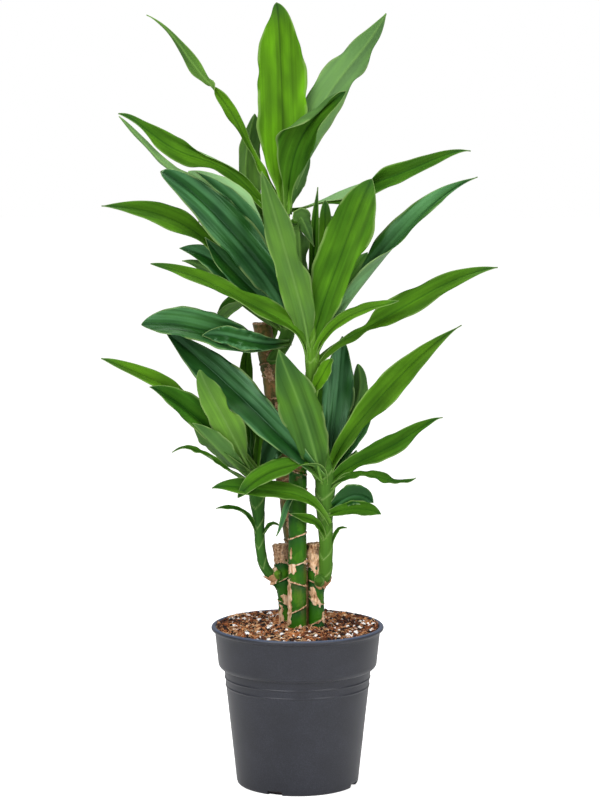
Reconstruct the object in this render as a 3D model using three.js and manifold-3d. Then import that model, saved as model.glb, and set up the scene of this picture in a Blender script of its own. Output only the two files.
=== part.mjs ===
// A corn plant in a nursery pot: four cut canes stand in a pot of coir, and five leafy heads grow from
// them. Millimetres, +Z up. The origin is the middle of the pot's underside, and -Y is the front.

import * as THREE from 'three';
import { mergeVertices } from 'three/addons/utils/BufferGeometryUtils.js';
import Module from 'manifold-3d';

const wasm = await Module();
wasm.setup();

// ---- driving dimensions -------------------------------------------------------------------------------

const SEAT_GAP = 0.3; // clearance round whatever stands in a hole or a socket

const POT_HEIGHT = 176;
const POT_WALL = 1.8;
const POT_FLOOR = 3;
const POT_SIDES = 32;
const LIP_RADIUS = 95;
const LIP_HEIGHT = 5;
const COLLAR_TOP_RADIUS = 91;
const COLLAR_FOOT_RADIUS = 87.5;
const COLLAR_FOOT = 135.5;
const STEP_FOOT = 128.5;
const WALL_TOP_RADIUS = 81;
const WALL_FOOT_RADIUS = 67;
const FOOT_ROUNDING = 3;
const RAISED_LINES = [119, 110]; // heights of the two lines moulded round the wall
const LINE_WIDTH = 2;
const LINE_RELIEF = 0.7;
const DRAIN_HOLES = 4;
const DRAIN_WIDTH = 17;
const DRAIN_HEIGHT = 4.5;
const DRAIN_DEPTH = 14;
const DRAIN_TURN = -112; // degrees round the axis from +X to the hole that faces the front left

const SOIL_EDGE = 174.5; // height of the soil at the wall
const SOIL_HEAP = 2.5; // how much higher it lies round the canes
const SOIL_SIDES = 28;

const CANE_SIDES = 10;
const CANE_FOOT = 112; // height of the buried ends of the canes
const SCAR_WIDTH = 2.6;
const SCAR_RELIEF = 0.9;

const BLADE_STEPS = 9;
const NARROW_BLADE = 18; // blades no wider than this have fewer steps
const NARROW_STEPS = 6;
const BLADE_EDGE = 0.9; // thickness at the margins
const BLADE_RIB = 1.7; // thickness along the midrib
const CLASP_ANGLE = 60; // how far a blade is folded where it clasps its stalk, degrees
const CLASP_HALF = 6.5; // half its width there
const TIP_HALF = 0.7;
const NIP_REACH = 0.08; // how far along the blade a nip spreads
const RIB_SLOPE = 1.3; // how steep a half rises from the midrib, as a share of its fold
const MARGIN_SLOPE = 0.7; // and at the margin
const CURL_INNER = 0.1; // the share of the half width from which a curl bends the margin
const WAVERS = [[2.3, 0.05], [5.3, 0.03]]; // how often a margin wavers, and how far as a share of its reach
const ROLL_STEP = 40; // degrees that a blade may roll over from one step to the next
const STALK_SIDES = 8;
const STALK_STEPS = 9;

// Canes: the middle of the foot and of the top, how far the cane bows out between them, and its leaf
// scars as heights and slopes.
const CANES = {
  cane_tall: {
    foot: [8, 33, CANE_FOOT],
    top: [-39.5, 36, 507],
    bow: [6, 0],
    radius: 10.5,
    scars: [[196, 0.3], [218, -0.2], [243, 0.35], [262, -0.3], [289, 0.3], [311, -0.2], [334, 0.25],
      [352, -0.3], [377, 0.3], [398, -0.25], [424, 0.2], [445, -0.3], [463, 0.25], [487, -0.2]],
  },
  cane_middle: {
    foot: [-1, -24, CANE_FOOT],
    top: [1, -22, 432],
    bow: [0, 0],
    radius: 10,
    scars: [[198, 0.4], [227, -0.35], [249, 0.2], [279, 0.38], [301, -0.3], [327, 0.3], [349, -0.3],
      [372, 0.3], [393, -0.3], [414, 0.3]],
  },
  cane_short_left: {
    foot: [-9, 2, CANE_FOOT],
    top: [-18.5, 4, 265],
    bow: [1.5, 0],
    radius: 8.8,
    scars: [[200, -0.4], [227, 0.5], [246, -0.2]],
  },
  cane_short_right: {
    foot: [22, -20, CANE_FOOT],
    top: [18.5, -13, 269],
    bow: [0.5, -1],
    radius: 8.8,
    scars: [[183, 0.45], [206, -0.4], [226, -0.5], [246, 0.2]],
  },
};

// Blades: points of the midrib from the stalk to the tip, then the greatest width and the way that the
// upper face looks. fold is the rise of each half in degrees, wave and waves the height and number of
// the ripples of the margins, and widest and point the place of the greatest width and how sharply the
// blade closes past it. roll lists places along the blade with the turn of its face about the midrib
// there, curl lists bends of a margin as side, start, end and degrees, and nips lists places where a
// margin is drawn in, or let out, as place, share and side. Side -1 or 1 is a margin, and 0 is both.
const TOP_BLADES = [
  { at: [[-14, 30, 626], [-15, 36, 696], [-17, 40, 756], [-19, 40, 810], [-23, 36, 856]], wide: 57,
    face: [0, -1, 0.1], fold: 14,
    nips: [[0.94, 0.35, -1], [0.8, 0.05, 1], [0.3, -0.1, 0], [0.16, -0.3, 0]], widest: 0.46,
    point: 0.64 },
  { at: [[-12, 32, 626], [3, 38, 696], [33, 44, 756], [64, 47, 797], [97, 48, 845]], wide: 46,
    face: [0.2, 1, 0.3], wave: 3, waves: 2.2,
    nips: [[0.5, 0.1, 1], [0.62, 0.32, -1], [0.72, 0.2, 1], [0.84, 0.3, -1]] },
  { at: [[-10, 28, 630], [-6, 20, 679], [6, 8, 712], [25, -6, 737], [52, -18, 758]], wide: 44,
    face: [-0.1, -1, 0.3], fold: 18, curl: [[-1, 0.3, 1.2, 165, 0.3, 0.7], [1, 0.2, 1.2, 40]], wave: 1,
    nips: [[0.12, 0.2, 0], [0.42, -0.3, -1], [0.54, -0.35, -1], [0.76, 0.3, -1]], widest: 0.5,
    point: 0.7 },
  { at: [[-13, 33, 628], [-5, 38, 652], [4, 43, 672], [13, 46, 694]], wide: 20, face: [0, 1, 0.2] },
  { at: [[-19, 28, 622], [-36, 26, 665], [-54, 21, 702], [-74, 14, 740], [-97, 8, 769],
      [-121, 3, 800], [-162, -2, 840]], wide: 16, face: [0, -1, 0.4], fold: 16,
    roll: [[0.2, 55], [0.36, 0], [0.6, 10], [0.68, 150]], wave: 4, waves: 3,
    nips: [[0.32, 0.4, 0], [0.44, 0.3, -1], [0.645, 0.6, 0], [0.92, 0.3, 0]], widest: 0.76, point: 1.2 },
  { at: [[-19, 28, 620], [-50, 25, 650], [-84, 18, 678], [-119, 9, 691], [-153, 1, 710], [-193, -3, 735]],
    wide: 28, face: [0, -1, 0.6], fold: 10, curl: [[1, 0.1, 0.78, 150, 0.3, 0.8], [-1, 0.66, 1.2, 60]],
    nips: [[0.22, 0.1, 0], [0.44, 0.35, 0], [0.9, 0.3, 0]], widest: 0.68, point: 0.8 },
  { at: [[-17, 30, 622], [-67, 22, 651], [-114, 10, 665], [-142, 2, 679], [-168, -2, 706],
      [-192, -6, 732]], wide: 11, face: [0, 1, 0.5], fold: 30, wave: 2 },
  { at: [[-20, 36, 582], [-51, 46, 636], [-57, 50, 686], [-47, 52, 736]], wide: 34, face: [0.5, 1, 0.1],
    fold: 35, widest: 0.6, point: 0.65 },
  { at: [[-12, 32, 629], [33, 36, 643], [68, 34, 656], [103, 28, 667], [144, 18, 684], [188, 12, 695]],
    wide: 27, face: [0, -1, 0.5], fold: 12, curl: [[-1, -0.1, 0.75, 160, 0, 0.4]], wave: 1.5,
    nips: [[0.12, 0.4, 0], [0.28, -0.4, 0], [0.4, -0.3, 0]], widest: 0.5, point: 1.2 },
  { at: [[-16, 33, 612], [-9, 76, 668], [-5, 104, 706], [-3, 132, 722]], wide: 36, face: [0, -0.6, 1] },
  { at: [[-20, 38, 590], [-46, 76, 622], [-80, 110, 630], [-114, 140, 614]], wide: 34, face: [0, 0, 1],
    wave: 3 },
  { at: [[-22, 41, 532], [-46, 76, 532], [-76, 104, 512], [-108, 124, 484]], wide: 32, face: [0, 0, 1],
    wave: 3 },
  { at: [[-18, 34, 597], [10, 78, 612], [38, 112, 614], [66, 142, 594]], wide: 32, face: [0, 0, 1],
    wave: 3 },
];
const LEFT_BLADES = [
  { at: [[-7, 12, 506], [-23, -4, 547], [-49, -16, 582], [-89, -28, 628], [-146, -36, 673]], wide: 46,
    face: [0.1, -1, 0.5], fold: 14, curl: [[-1, 0.05, 0.6, -60]], widest: 0.6, point: 0.55 },
  { at: [[-10, 14, 512], [-38, 8, 592], [-70, 0, 638], [-110, -12, 673]], wide: 27,
    face: [0.3, -0.8, 0.6], fold: 45 },
  { at: [[-9, 14, 498], [-50, 12, 540], [-88, 6, 574], [-128, 0, 590]], wide: 30, face: [0, -1, 0.4] },
  { at: [[-9, 13, 500], [-38, 2, 534], [-68, -4, 564], [-100, -6, 602]], wide: 30, face: [0.2, -1, 0.3] },
  { at: [[-10, 16, 494], [-52, 18, 528], [-88, 17, 560], [-126, 12, 576]], wide: 17, face: [0, 1, 0.3] },
  { at: [[-9, 15, 506], [-55, 8, 555], [-102, -2, 601], [-154, -10, 628], [-211, -14, 636]], wide: 29,
    face: [0, -1, 0.6], nips: [[0.5, 0.35, 0], [0.66, -0.12, -1]], widest: 0.62, point: 1.1 },
  { at: [[-10, 14, 483], [-52, -6, 486], [-91, -14, 499], [-130, -16, 508], [-169, -14, 508]], wide: 44,
    face: [0, -1, 0.6], fold: 24, widest: 0.6, point: 0.75 },
  { at: [[-12, 10, 486], [-45, -16, 489], [-74, -24, 496], [-103, -27, 497]], wide: 24,
    face: [0, -1, 0.2], wave: 3, waves: 3 },
  { at: [[-11, 14, 492], [-40, 8, 528], [-66, 0, 536], [-87, -4, 520]], wide: 12, face: [0, -0.7, 1] },
  { at: [[-8, 17, 503], [2, 50, 543], [-8, 86, 573], [-28, 116, 584]], wide: 30, face: [0, -0.5, 1] },
  { at: [[-7, 18, 502], [10, 50, 528], [24, 84, 550], [36, 112, 558]], wide: 28, face: [0, -0.5, 1] },
  { at: [[-9, 15, 512], [-39, 12, 586], [-62, 7, 632], [-88, 3, 656], [-118, -2, 673]], wide: 34,
    face: [0.1, 1, -0.3], fold: 8, wave: 1, point: 0.7 },
];
const MIDDLE_BLADES = [
  { at: [[13, -27, 466], [6, -40, 519], [-7, -52, 568], [-22, -62, 620], [-38, -66, 673]], wide: 37,
    face: [-0.1, 1, -0.1], fold: 12, wave: 2.5, waves: 2.2,
    nips: [[0.57, 0.3, -1], [0.52, 0.12, 1], [0.7, -0.14, -1]], widest: 0.45, point: 0.85 },
  { at: [[16, -25, 468], [24, -27, 519], [41, -28, 568], [60, -24, 619], [80, -18, 665]], wide: 52,
    face: [-0.1, -1, 0.2], fold: 16, wave: 1.5, nips: [[0.56, 0.22, 1], [0.42, 0.1, 1], [0.68, -0.06, 1]],
    widest: 0.64, point: 0.8 },
  { at: [[18, -22, 468], [50, -14, 524], [94, -6, 580], [141, 0, 631], [195, 4, 667]], wide: 40,
    face: [-0.2, -0.7, 0.7], fold: 40, curl: [[1, -0.2, 0.62, 130, 0.1, 0.6], [-1, 0.4, 1.1, -30]],
    wave: 2, nips: [[0.22, 0.3, 0], [0.38, 0.3, -1], [0.3, -0.3, 1], [0.45, -0.3, 1], [0.88, 0.3, 1]],
    widest: 0.58, point: 1.3 },
  { at: [[18, -27, 469], [31, -36, 498], [54, -42, 518], [82, -47, 529], [108, -50, 536]], wide: 17,
    face: [0, -0.7, 0.8], wave: 1 },
  { at: [[18, -25, 465], [44, -24, 489], [80, -22, 508], [119, -20, 530], [164, -18, 554],
      [216, -16, 570]], wide: 32, face: [0, -1, 0.6], roll: [[0.28, 75], [0.44, 0]],
    nips: [[0.22, 0.3, 0], [0.36, 0.72, 0], [0.68, 0.16, -1], [0.76, 0.14, 1]], widest: 0.56, point: 1 },
  { at: [[12, -28, 466], [-11, -36, 510], [-43, -42, 528], [-77, -44, 546], [-115, -42, 563],
      [-157, -40, 575]], wide: 31, face: [0, -0.7, 0.9], wave: 2,
    nips: [[0.52, 0.25, 1], [0.58, 0.2, -1], [0.8, 0.1, 1], [0.9, 0.2, -1]], widest: 0.38, point: 0.7 },
  { at: [[16, -25, 468], [24, -16, 530], [29, -10, 585], [30, -6, 642]], wide: 14, face: [0, -1, 0],
    fold: 10, wave: 1, widest: 0.84, point: 0.55 },
  { at: [[15, -25, 468], [17, -12, 530], [18, -6, 590], [22, 0, 656]], wide: 13, face: [0, -1, 0],
    curl: [[1, 0.3, 1, 70]] },
  { at: [[14, -24, 468], [6, -10, 545], [2, -4, 604], [4, -6, 622], [18, -14, 592]], wide: 24,
    face: [-0.3, 1, 0], fold: 24, roll: [[0.4, 0], [0.62, 70], [0.8, 10]], wave: 5, waves: 3.5,
    nips: [[0.6, 0.3, 1], [0.8, 0.3, -1]], widest: 0.7, point: 1.1 },
  { at: [[16, -28, 436], [24, -36, 450], [31, -38, 463], [38, -36, 473]], wide: 17, face: [0, -1, 0.3],
    curl: [[1, 0.3, 1.2, 60]], wave: 1 },
  { at: [[17, -22, 466], [40, 10, 525], [60, 42, 560], [78, 76, 583]], wide: 30, face: [0, -0.5, 1],
    wave: 3 },
];
const LOW_RIGHT_BLADES = [
  { at: [[29, -31, 328], [19, -50, 370], [8, -57, 409], [-6, -57, 447], [-20, -52, 484]], wide: 47,
    face: [-0.1, 1, -0.1], fold: 14, wave: 1.5, nips: [[0.38, 0.1, 1], [0.86, 0.12, -1]], widest: 0.54,
    point: 0.95 },
  { at: [[31, -27, 336], [52, -27, 384], [85, -27, 425], [126, -25, 468], [177, -22, 508]], wide: 33,
    face: [0, -1, 0.3], fold: 24, wave: 1.5, waves: 2,
    nips: [[0.36, 0.35, 1], [0.44, 0.2, 1], [0.3, 0.2, -1]], widest: 0.55, point: 1.4 },
  { at: [[31, -28, 333], [51, -32, 351], [75, -36, 365], [102, -39, 379], [130, -41, 397],
      [156, -42, 410]], wide: 27, face: [0, -0.9, 0.5], fold: 28, wave: 2,
    nips: [[0.3, 0.3, 1], [0.55, -0.15, 1], [0.8, 0.3, 1], [0.4, 0.2, -1]], widest: 0.5, point: 1.3 },
  { at: [[34, -29, 325], [66, -44, 348], [98, -50, 343], [127, -52, 346]], wide: 13, face: [0, -0.8, 1],
    wave: 2.5, waves: 2.5, nips: [[0.6, 0.4, 1], [0.75, 0.35, -1]] },
  { at: [[33, -27, 305], [51, -34, 321], [67, -38, 325], [82, -38, 317]], wide: 26, face: [0, -1, 0.3],
    fold: 28, wave: 1 },
  { at: [[33, -29, 301], [53, -42, 310], [73, -47, 311], [90, -48, 306]], wide: 18, face: [0, -1, 0.6],
    wave: 1 },
  { at: [[30, -30, 332], [18, -44, 358], [-8, -54, 359], [-36, -58, 349], [-64, -56, 325]], wide: 24,
    face: [0, -0.9, 0.7], roll: [[0.25, 50], [0.6, 0]], wave: 1, nips: [[0.4, 0.35, 0]], widest: 0.72,
    point: 0.7 },
  { at: [[32, -31, 293], [3, -46, 325], [-27, -50, 331], [-59, -50, 335], [-92, -46, 334]], wide: 27,
    face: [0, -0.8, 0.8], wave: 1, widest: 0.58 },
  { at: [[30, -30, 276], [20, -38, 295], [8, -42, 301], [-8, -42, 306]], wide: 11, face: [0, -1, 0.6],
    wave: 1 },
  { at: [[36, -25, 260], [40, -27, 279], [46, -28, 287], [54, -28, 288]], wide: 5, face: [0, -1, 1],
    wave: 1 },
  { at: [[31, -23, 335], [40, -8, 396], [45, 2, 446], [49, 8, 494]], wide: 37, face: [0, -1, 0.1] },
  { at: [[33, -21, 335], [54, 0, 394], [67, 12, 430], [66, 16, 463]], wide: 23, face: [0, 1, 0],
    point: 0.6 },
  { at: [[27, -31, 342], [-28, -38, 399], [-86, 2, 450], [-145, 14, 499]], wide: 44, face: [0, -1, 0.3] },
  { at: [[26, -30, 316], [-2, -39, 326], [-14, -38, 306], [-23, -36, 280]], wide: 7, face: [0, -1, 0.3],
    wave: 1 },
  { at: [[31, -22, 330], [45, 14, 350], [55, 44, 357], [62, 72, 354]], wide: 28, face: [0, 0, 1],
    wave: 3 },
  { at: [[31, -21, 335], [29, 16, 388], [22, 48, 428], [12, 76, 450]], wide: 30, face: [0, -0.4, 1],
    wave: 3 },
  { at: [[32, -22, 336], [48, -18, 365], [66, -14, 389], [82, -12, 417]], wide: 15, face: [0.2, -1, 0.3],
    wave: 1.5 },
];
const LOW_LEFT_BLADES = [
  { at: [[-47, 0, 340], [-64, -41, 378], [-78, -53, 409], [-92, -58, 436], [-104, -60, 463]], wide: 34,
    face: [-0.2, 1, -0.1], fold: 14, wave: 2, waves: 2,
    nips: [[0.56, 0.35, -1], [0.36, -0.12, -1], [0.95, 0.3, -1]], widest: 0.42, point: 0.6 },
  { at: [[-44, 2, 341], [-71, -24, 381], [-100, -34, 415], [-130, -40, 438], [-169, -44, 457],
      [-210, -46, 474]], wide: 21, face: [0, -0.8, 0.7], fold: 28, roll: [[0.3, 70], [0.62, 0]], wave: 1,
    nips: [[0.55, 0.5, 0]], widest: 0.7 },
  { at: [[-45, 0, 339], [-77, -36, 377], [-107, -46, 408], [-133, -50, 430], [-158, -52, 444]], wide: 35,
    face: [0.2, -0.9, 0.6], fold: 44, curl: [[-1, 0, 1, -50]], wave: 1.5,
    nips: [[0.42, 0.2, 1], [0.58, -0.1, 1]] },
  { at: [[-48, -2, 334], [-73, -36, 362], [-92, -54, 384], [-112, -60, 406]], wide: 30,
    face: [0.4, 1, 0.2] },
  { at: [[-48, -3, 332], [-82, -38, 358], [-110, -50, 376], [-134, -56, 374]], wide: 8,
    face: [0, -0.7, 1], wave: 1.5, waves: 3 },
  { at: [[-48, 1, 342], [-57, -6, 366], [-66, -12, 386], [-74, -16, 404]], wide: 15, face: [0, -1, 0] },
  { at: [[-44, 3, 338], [-32, 6, 364], [-22, 5, 388], [-16, 4, 414]], wide: 32, face: [0, -1, 0.1] },
  { at: [[-46, 1, 342], [-44, -8, 364], [-42, -12, 384], [-39, -14, 404]], wide: 10, face: [0, -1, 0] },
  { at: [[-44, 0, 270], [-54, -6, 297], [-71, -10, 307], [-89, -12, 307]], wide: 8, face: [0, -0.6, 1],
    wave: 1 },
  { at: [[-41, 0, 272], [-33, -4, 284], [-27, -7, 289], [-19, -8, 287]], wide: 7, face: [0, -0.6, 1],
    wave: 1 },
  { at: [[-48, 5, 338], [-70, 42, 374], [-95, 72, 394], [-120, 96, 396]], wide: 30, face: [0, 0, 1],
    wave: 3 },
  { at: [[-47, 6, 342], [-54, 34, 392], [-58, 50, 440], [-54, 58, 486]], wide: 20, face: [0, -1, 0.2] },
];

// Heads: the cane that each grows from, the path and radius of its stalk, and its blades.
const HEADS = {
  head_top: {
    cane: 'cane_tall',
    stalk: [[-35, 37, 484], [-27, 42, 498], [-22, 41, 530], [-19, 34, 590], [-15, 30, 636]],
    radius: 5.5,
    spear: 60,
    blades: TOP_BLADES,
    colour: '#57901f',
  },
  head_left: {
    cane: 'cane_tall',
    stalk: [[-30, 30, 466], [-20, 22, 476], [-13, 16, 490], [-9, 14, 512]],
    radius: 6,
    spear: 45,
    blades: LEFT_BLADES,
    colour: '#25551b',
  },
  head_middle: {
    cane: 'cane_middle',
    stalk: [[4, -22, 412], [13, -24, 425], [16, -26, 445], [16, -26, 476]],
    radius: 6,
    spear: 55,
    blades: MIDDLE_BLADES,
    colour: '#4a7a1e',
  },
  head_low_right: {
    cane: 'cane_short_right',
    stalk: [[20, -17, 222], [29, -21, 234], [31, -24, 260], [30, -26, 300], [30, -27, 346]],
    radius: 7.5,
    spear: 50,
    blades: LOW_RIGHT_BLADES,
    colour: '#619133',
  },
  head_low_left: {
    cane: 'cane_short_left',
    stalk: [[-19, 2, 226], [-29, 1, 231], [-37, 0, 243], [-41, 0, 265], [-43, 1, 300], [-47, 2, 348]],
    radius: 5.6,
    spear: 45,
    blades: LOW_LEFT_BLADES,
    colour: '#3c6b24',
  },
};

const KNUCKLE_RADIUS = 8.5; // swelling of a short cane where its shoot breaks out
const KNUCKLES = {
  cane_short_left: [-22, 2, 229],
  cane_short_right: [23, -18, 227],
};

// ---- solids -------------------------------------------------------------------------------------------

function solidOf(geometry) {
  const plain = geometry.clone();
  plain.deleteAttribute('normal');
  plain.deleteAttribute('uv');
  const merged = mergeVertices(plain, 1e-4);
  const vertProperties = new Float32Array(merged.attributes.position.array);
  const triVerts = new Uint32Array(merged.index.array);
  return new wasm.Manifold(new wasm.Mesh({ numProp: 3, vertProperties, triVerts }));
}

function meshOf(name, solid, colour, roughness) {
  const { vertProperties, triVerts } = solid.getMesh();
  const geometry = new THREE.BufferGeometry();
  geometry.setAttribute('position', new THREE.BufferAttribute(vertProperties, 3));
  geometry.setIndex(new THREE.BufferAttribute(triVerts, 1));
  geometry.computeVertexNormals();
  const material = new THREE.MeshStandardMaterial({ color: colour, roughness, metalness: 0 });
  const mesh = new THREE.Mesh(geometry, material);
  mesh.name = name;
  return mesh;
}

// A profile of [radius, height] pairs turned about the +Z axis.
function turned(profile, sides) {
  const points = profile.map(([radius, height]) => new THREE.Vector2(radius, height));
  return new THREE.LatheGeometry(points, sides).rotateX(Math.PI / 2);
}

// The largest of a solid's separate bodies, without the crumbs that a cut leaves.
function mainBody(solid) {
  return solid.decompose().reduce((most, body) => (body.volume() > most.volume() ? body : most));
}

function mix(from, to, share) {
  return from + (to - from) * share;
}

// ---- pot and soil -------------------------------------------------------------------------------------

function wallRadius(height) {
  return mix(WALL_FOOT_RADIUS, WALL_TOP_RADIUS, height / STEP_FOOT);
}

function potSolid() {
  const outside = [
    [0, 0],
    [WALL_FOOT_RADIUS - FOOT_ROUNDING, 0],
    [WALL_FOOT_RADIUS - FOOT_ROUNDING * 0.3, FOOT_ROUNDING * 0.35],
    [wallRadius(FOOT_ROUNDING), FOOT_ROUNDING],
  ];
  for (const height of [...RAISED_LINES].reverse()) {
    outside.push([wallRadius(height - LINE_WIDTH), height - LINE_WIDTH]);
    outside.push([wallRadius(height) + LINE_RELIEF, height]);
    outside.push([wallRadius(height + LINE_WIDTH), height + LINE_WIDTH]);
  }
  outside.push([WALL_TOP_RADIUS, STEP_FOOT]);
  outside.push([mix(WALL_TOP_RADIUS, COLLAR_FOOT_RADIUS, 0.75), mix(STEP_FOOT, COLLAR_FOOT, 0.35)]);
  outside.push([COLLAR_FOOT_RADIUS, COLLAR_FOOT]);
  outside.push([COLLAR_TOP_RADIUS, POT_HEIGHT - LIP_HEIGHT - 2]);
  outside.push([LIP_RADIUS - 0.8, POT_HEIGHT - LIP_HEIGHT]);
  outside.push([LIP_RADIUS, POT_HEIGHT - LIP_HEIGHT / 2]);
  outside.push([LIP_RADIUS - 1, POT_HEIGHT]);
  const inside = [
    [COLLAR_TOP_RADIUS - POT_WALL + 0.8, POT_HEIGHT],
    [COLLAR_FOOT_RADIUS - POT_WALL, COLLAR_FOOT],
    [WALL_TOP_RADIUS - POT_WALL, STEP_FOOT],
    [wallRadius(POT_FLOOR) - POT_WALL, POT_FLOOR],
    [0, POT_FLOOR],
  ];
  let pot = solidOf(turned([...outside, ...inside], POT_SIDES));
  for (let hole = 0; hole < DRAIN_HOLES; hole += 1) {
    const turn = THREE.MathUtils.degToRad(DRAIN_TURN + (360 * hole) / DRAIN_HOLES);
    const notch = new THREE.BoxGeometry(DRAIN_DEPTH, DRAIN_WIDTH, DRAIN_HEIGHT * 2);
    notch.translate(WALL_FOOT_RADIUS + 1, 0, 0).rotateZ(turn);
    pot = pot.subtract(solidOf(notch));
  }
  return pot;
}

function soilSolid(holes) {
  const rim = mix(COLLAR_FOOT_RADIUS, COLLAR_TOP_RADIUS, 0.9) - POT_WALL - SEAT_GAP;
  const profile = [
    [0, POT_FLOOR + SEAT_GAP],
    [wallRadius(POT_FLOOR) - POT_WALL - SEAT_GAP - 0.5, POT_FLOOR + SEAT_GAP],
    [WALL_TOP_RADIUS - POT_WALL - SEAT_GAP - 0.3, STEP_FOOT],
    [COLLAR_FOOT_RADIUS - POT_WALL - SEAT_GAP - 0.5, COLLAR_FOOT + 0.5],
    [rim, SOIL_EDGE],
    [rim * 0.75, SOIL_EDGE + SOIL_HEAP * 0.55],
    [rim * 0.4, SOIL_EDGE + SOIL_HEAP],
    [0, SOIL_EDGE + SOIL_HEAP * 0.9],
  ];
  return holes.reduce((soil, hole) => soil.subtract(hole), solidOf(turned(profile, SOIL_SIDES)));
}

// ---- canes --------------------------------------------------------------------------------------------

// A straight turned cane with raised scars, then each ring is tipped by its slope and moved to the
// cane's own line, so that the cane leans and bows. grow makes it larger all round, for its hole.
function caneSolid({ foot, top, bow, radius, scars }, grow = 0) {
  const profile = [[0, foot[2] - grow], [radius + grow, foot[2] - grow]];
  for (const [height] of scars) {
    profile.push([radius + grow, height - SCAR_WIDTH]);
    profile.push([radius + SCAR_RELIEF + grow, height]);
    profile.push([radius + grow, height + SCAR_WIDTH]);
  }
  profile.push([radius + grow, top[2] - 1.5]);
  profile.push([radius - 1.5 + grow, top[2]]);
  profile.push([0, top[2]]);
  const cane = turned(profile, CANE_SIDES);
  const stops = [[foot[2], 0], ...scars, [top[2], 0.05]];
  const { position } = cane.attributes;
  for (let i = 0; i < position.count; i += 1) {
    const height = THREE.MathUtils.clamp(position.getZ(i), foot[2], top[2]);
    const above = Math.max(1, stops.findIndex(([stop]) => stop >= height));
    const [low, high] = [stops[above - 1], stops[above]];
    const slope = mix(low[1], high[1], (height - low[0]) / (high[0] - low[0]));
    const share = (height - foot[2]) / (top[2] - foot[2]);
    const bulge = 4 * share * (1 - share);
    const x = position.getX(i);
    position.setXYZ(
      i,
      x + mix(foot[0], top[0], share) + bow[0] * bulge,
      position.getY(i) + mix(foot[1], top[1], share) + bow[1] * bulge,
      position.getZ(i) + slope * x,
    );
  }
  return solidOf(cane);
}

// ---- heads --------------------------------------------------------------------------------------------

// A curve through any number of points at even steps. Each point's weight is a product over the other
// steps: how far t is from that step, as a share of how far the point's own step is.
class ThroughPoints extends THREE.Curve {
  constructor(points) {
    super();
    this.points = points.map((point) => new THREE.Vector3(...point));
  }

  getPoint(t, target = new THREE.Vector3()) {
    const steps = this.points.map((_, i) => i / (this.points.length - 1));
    target.set(0, 0, 0);
    this.points.forEach((point, i) => {
      const others = steps.filter((_, j) => j !== i);
      const weight = others.reduce((left, other) => (left * (t - other)) / (steps[i] - other), 1);
      target.addScaledVector(point, weight);
    });
    return target;
  }
}

// The value at t for stops of place and value: an S-curve leads from each stop to the next.
function stepped(t, stops) {
  return stops.slice(1).reduce((total, [place, value], i) => {
    const [before, start] = stops[i];
    return total + (value - start) * THREE.MathUtils.smoothstep(t, before, place);
  }, stops[0][1]);
}

// Half the blade's width: narrow where it clasps the stalk, swelling to the widest place, then closing
// to the tip, the more sharply the greater point is.
function halfWidth(t, { wide, widest = 0.56, point = 0.9 }) {
  const clasp = Math.min(Math.max(CLASP_HALF, wide / 5), wide / 3);
  if (t < widest) return mix(clasp, wide / 2, THREE.MathUtils.smoothstep(t, 0, widest));
  const past = (t - widest) / (1 - widest);
  return Math.max((wide / 2) * (1 - past ** 2) ** point, TIP_HALF);
}

// How much of that is left on one side where its margin is nipped and wavers.
function nipped(t, side, { at, nips = [] }) {
  const phase = at.at(-1)[0] / 10;
  const waver = WAVERS.reduce((total, [times, reach], i) => {
    const turn = 2 * Math.PI * times * t + (i + 1) * phase + (i === 0 ? side : -side);
    return total + reach * Math.sin(Math.PI * t) * Math.sin(turn);
  }, 1);
  return nips.reduce((left, [place, depth, on]) => {
    const bell = Math.exp(-(((t - place) / NIP_REACH) ** 2));
    return on === -side ? left : left * (1 - depth * bell);
  }, waver);
}

// How one half of the blade's section runs from the midrib to the margin: how far out and up the margin
// lies, as shares of the half width, and the slope there. The slope follows lift and eases outwards, and
// each bend adds to it between its inner and its outer share of the half width. Where they roll the blade
// over, the crest of the roll takes the margin's place.
function halfSection(lift, bends) {
  const parts = 8;
  let crest = { out: 0, rise: 0, slope: 0 };
  let [out, rise] = [0, 0];
  for (let i = 0; i < parts; i += 1) {
    const share = (i + 0.5) / parts;
    const bent = bends.reduce((total, [bend, inner, outer]) => {
      return total + bend * THREE.MathUtils.smoothstep(share, inner, outer);
    }, 0);
    const slope = THREE.MathUtils.degToRad(lift * mix(RIB_SLOPE, MARGIN_SLOPE, share) + bent);
    out += Math.cos(slope) / parts;
    rise += Math.sin(slope) / parts;
    if (out > crest.out) crest = { out, rise, slope };
  }
  return crest;
}

// How much the margin on one side is bent over at t, in degrees, and between which shares of the half
// width: each bend swells and fades along the blade.
function bentOver(t, side, curl = []) {
  const curled = curl.filter(([on]) => on === side);
  return curled.map(([, start, end, degrees, inner = CURL_INNER, outer = 1]) => {
    const middle = (start + end) / 2;
    return [degrees * stepped(t, [[start, 0], [middle, 1], [end, 0]]), inner, outer];
  });
}

// Where along a blade its section is worked out: at even steps, and more closely where it rolls over.
function stepPlaces({ wide, roll = [] }) {
  const steps = wide > NARROW_BLADE ? BLADE_STEPS : NARROW_STEPS;
  const close = [];
  roll.slice(1).forEach(([end, to], i) => {
    const [start, from] = roll[i];
    const extra = Math.floor(Math.abs(to - from) / ROLL_STEP);
    for (let k = 1; k <= extra; k += 1) close.push(mix(start, end, k / (extra + 1)));
  });
  const even = Array.from({ length: steps + 1 }, (_, step) => step / steps);
  const apart = even.filter((place) => close.every((other) => Math.abs(other - place) > 0.2 / steps));
  return [...apart, ...close].sort((a, b) => a - b);
}

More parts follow.
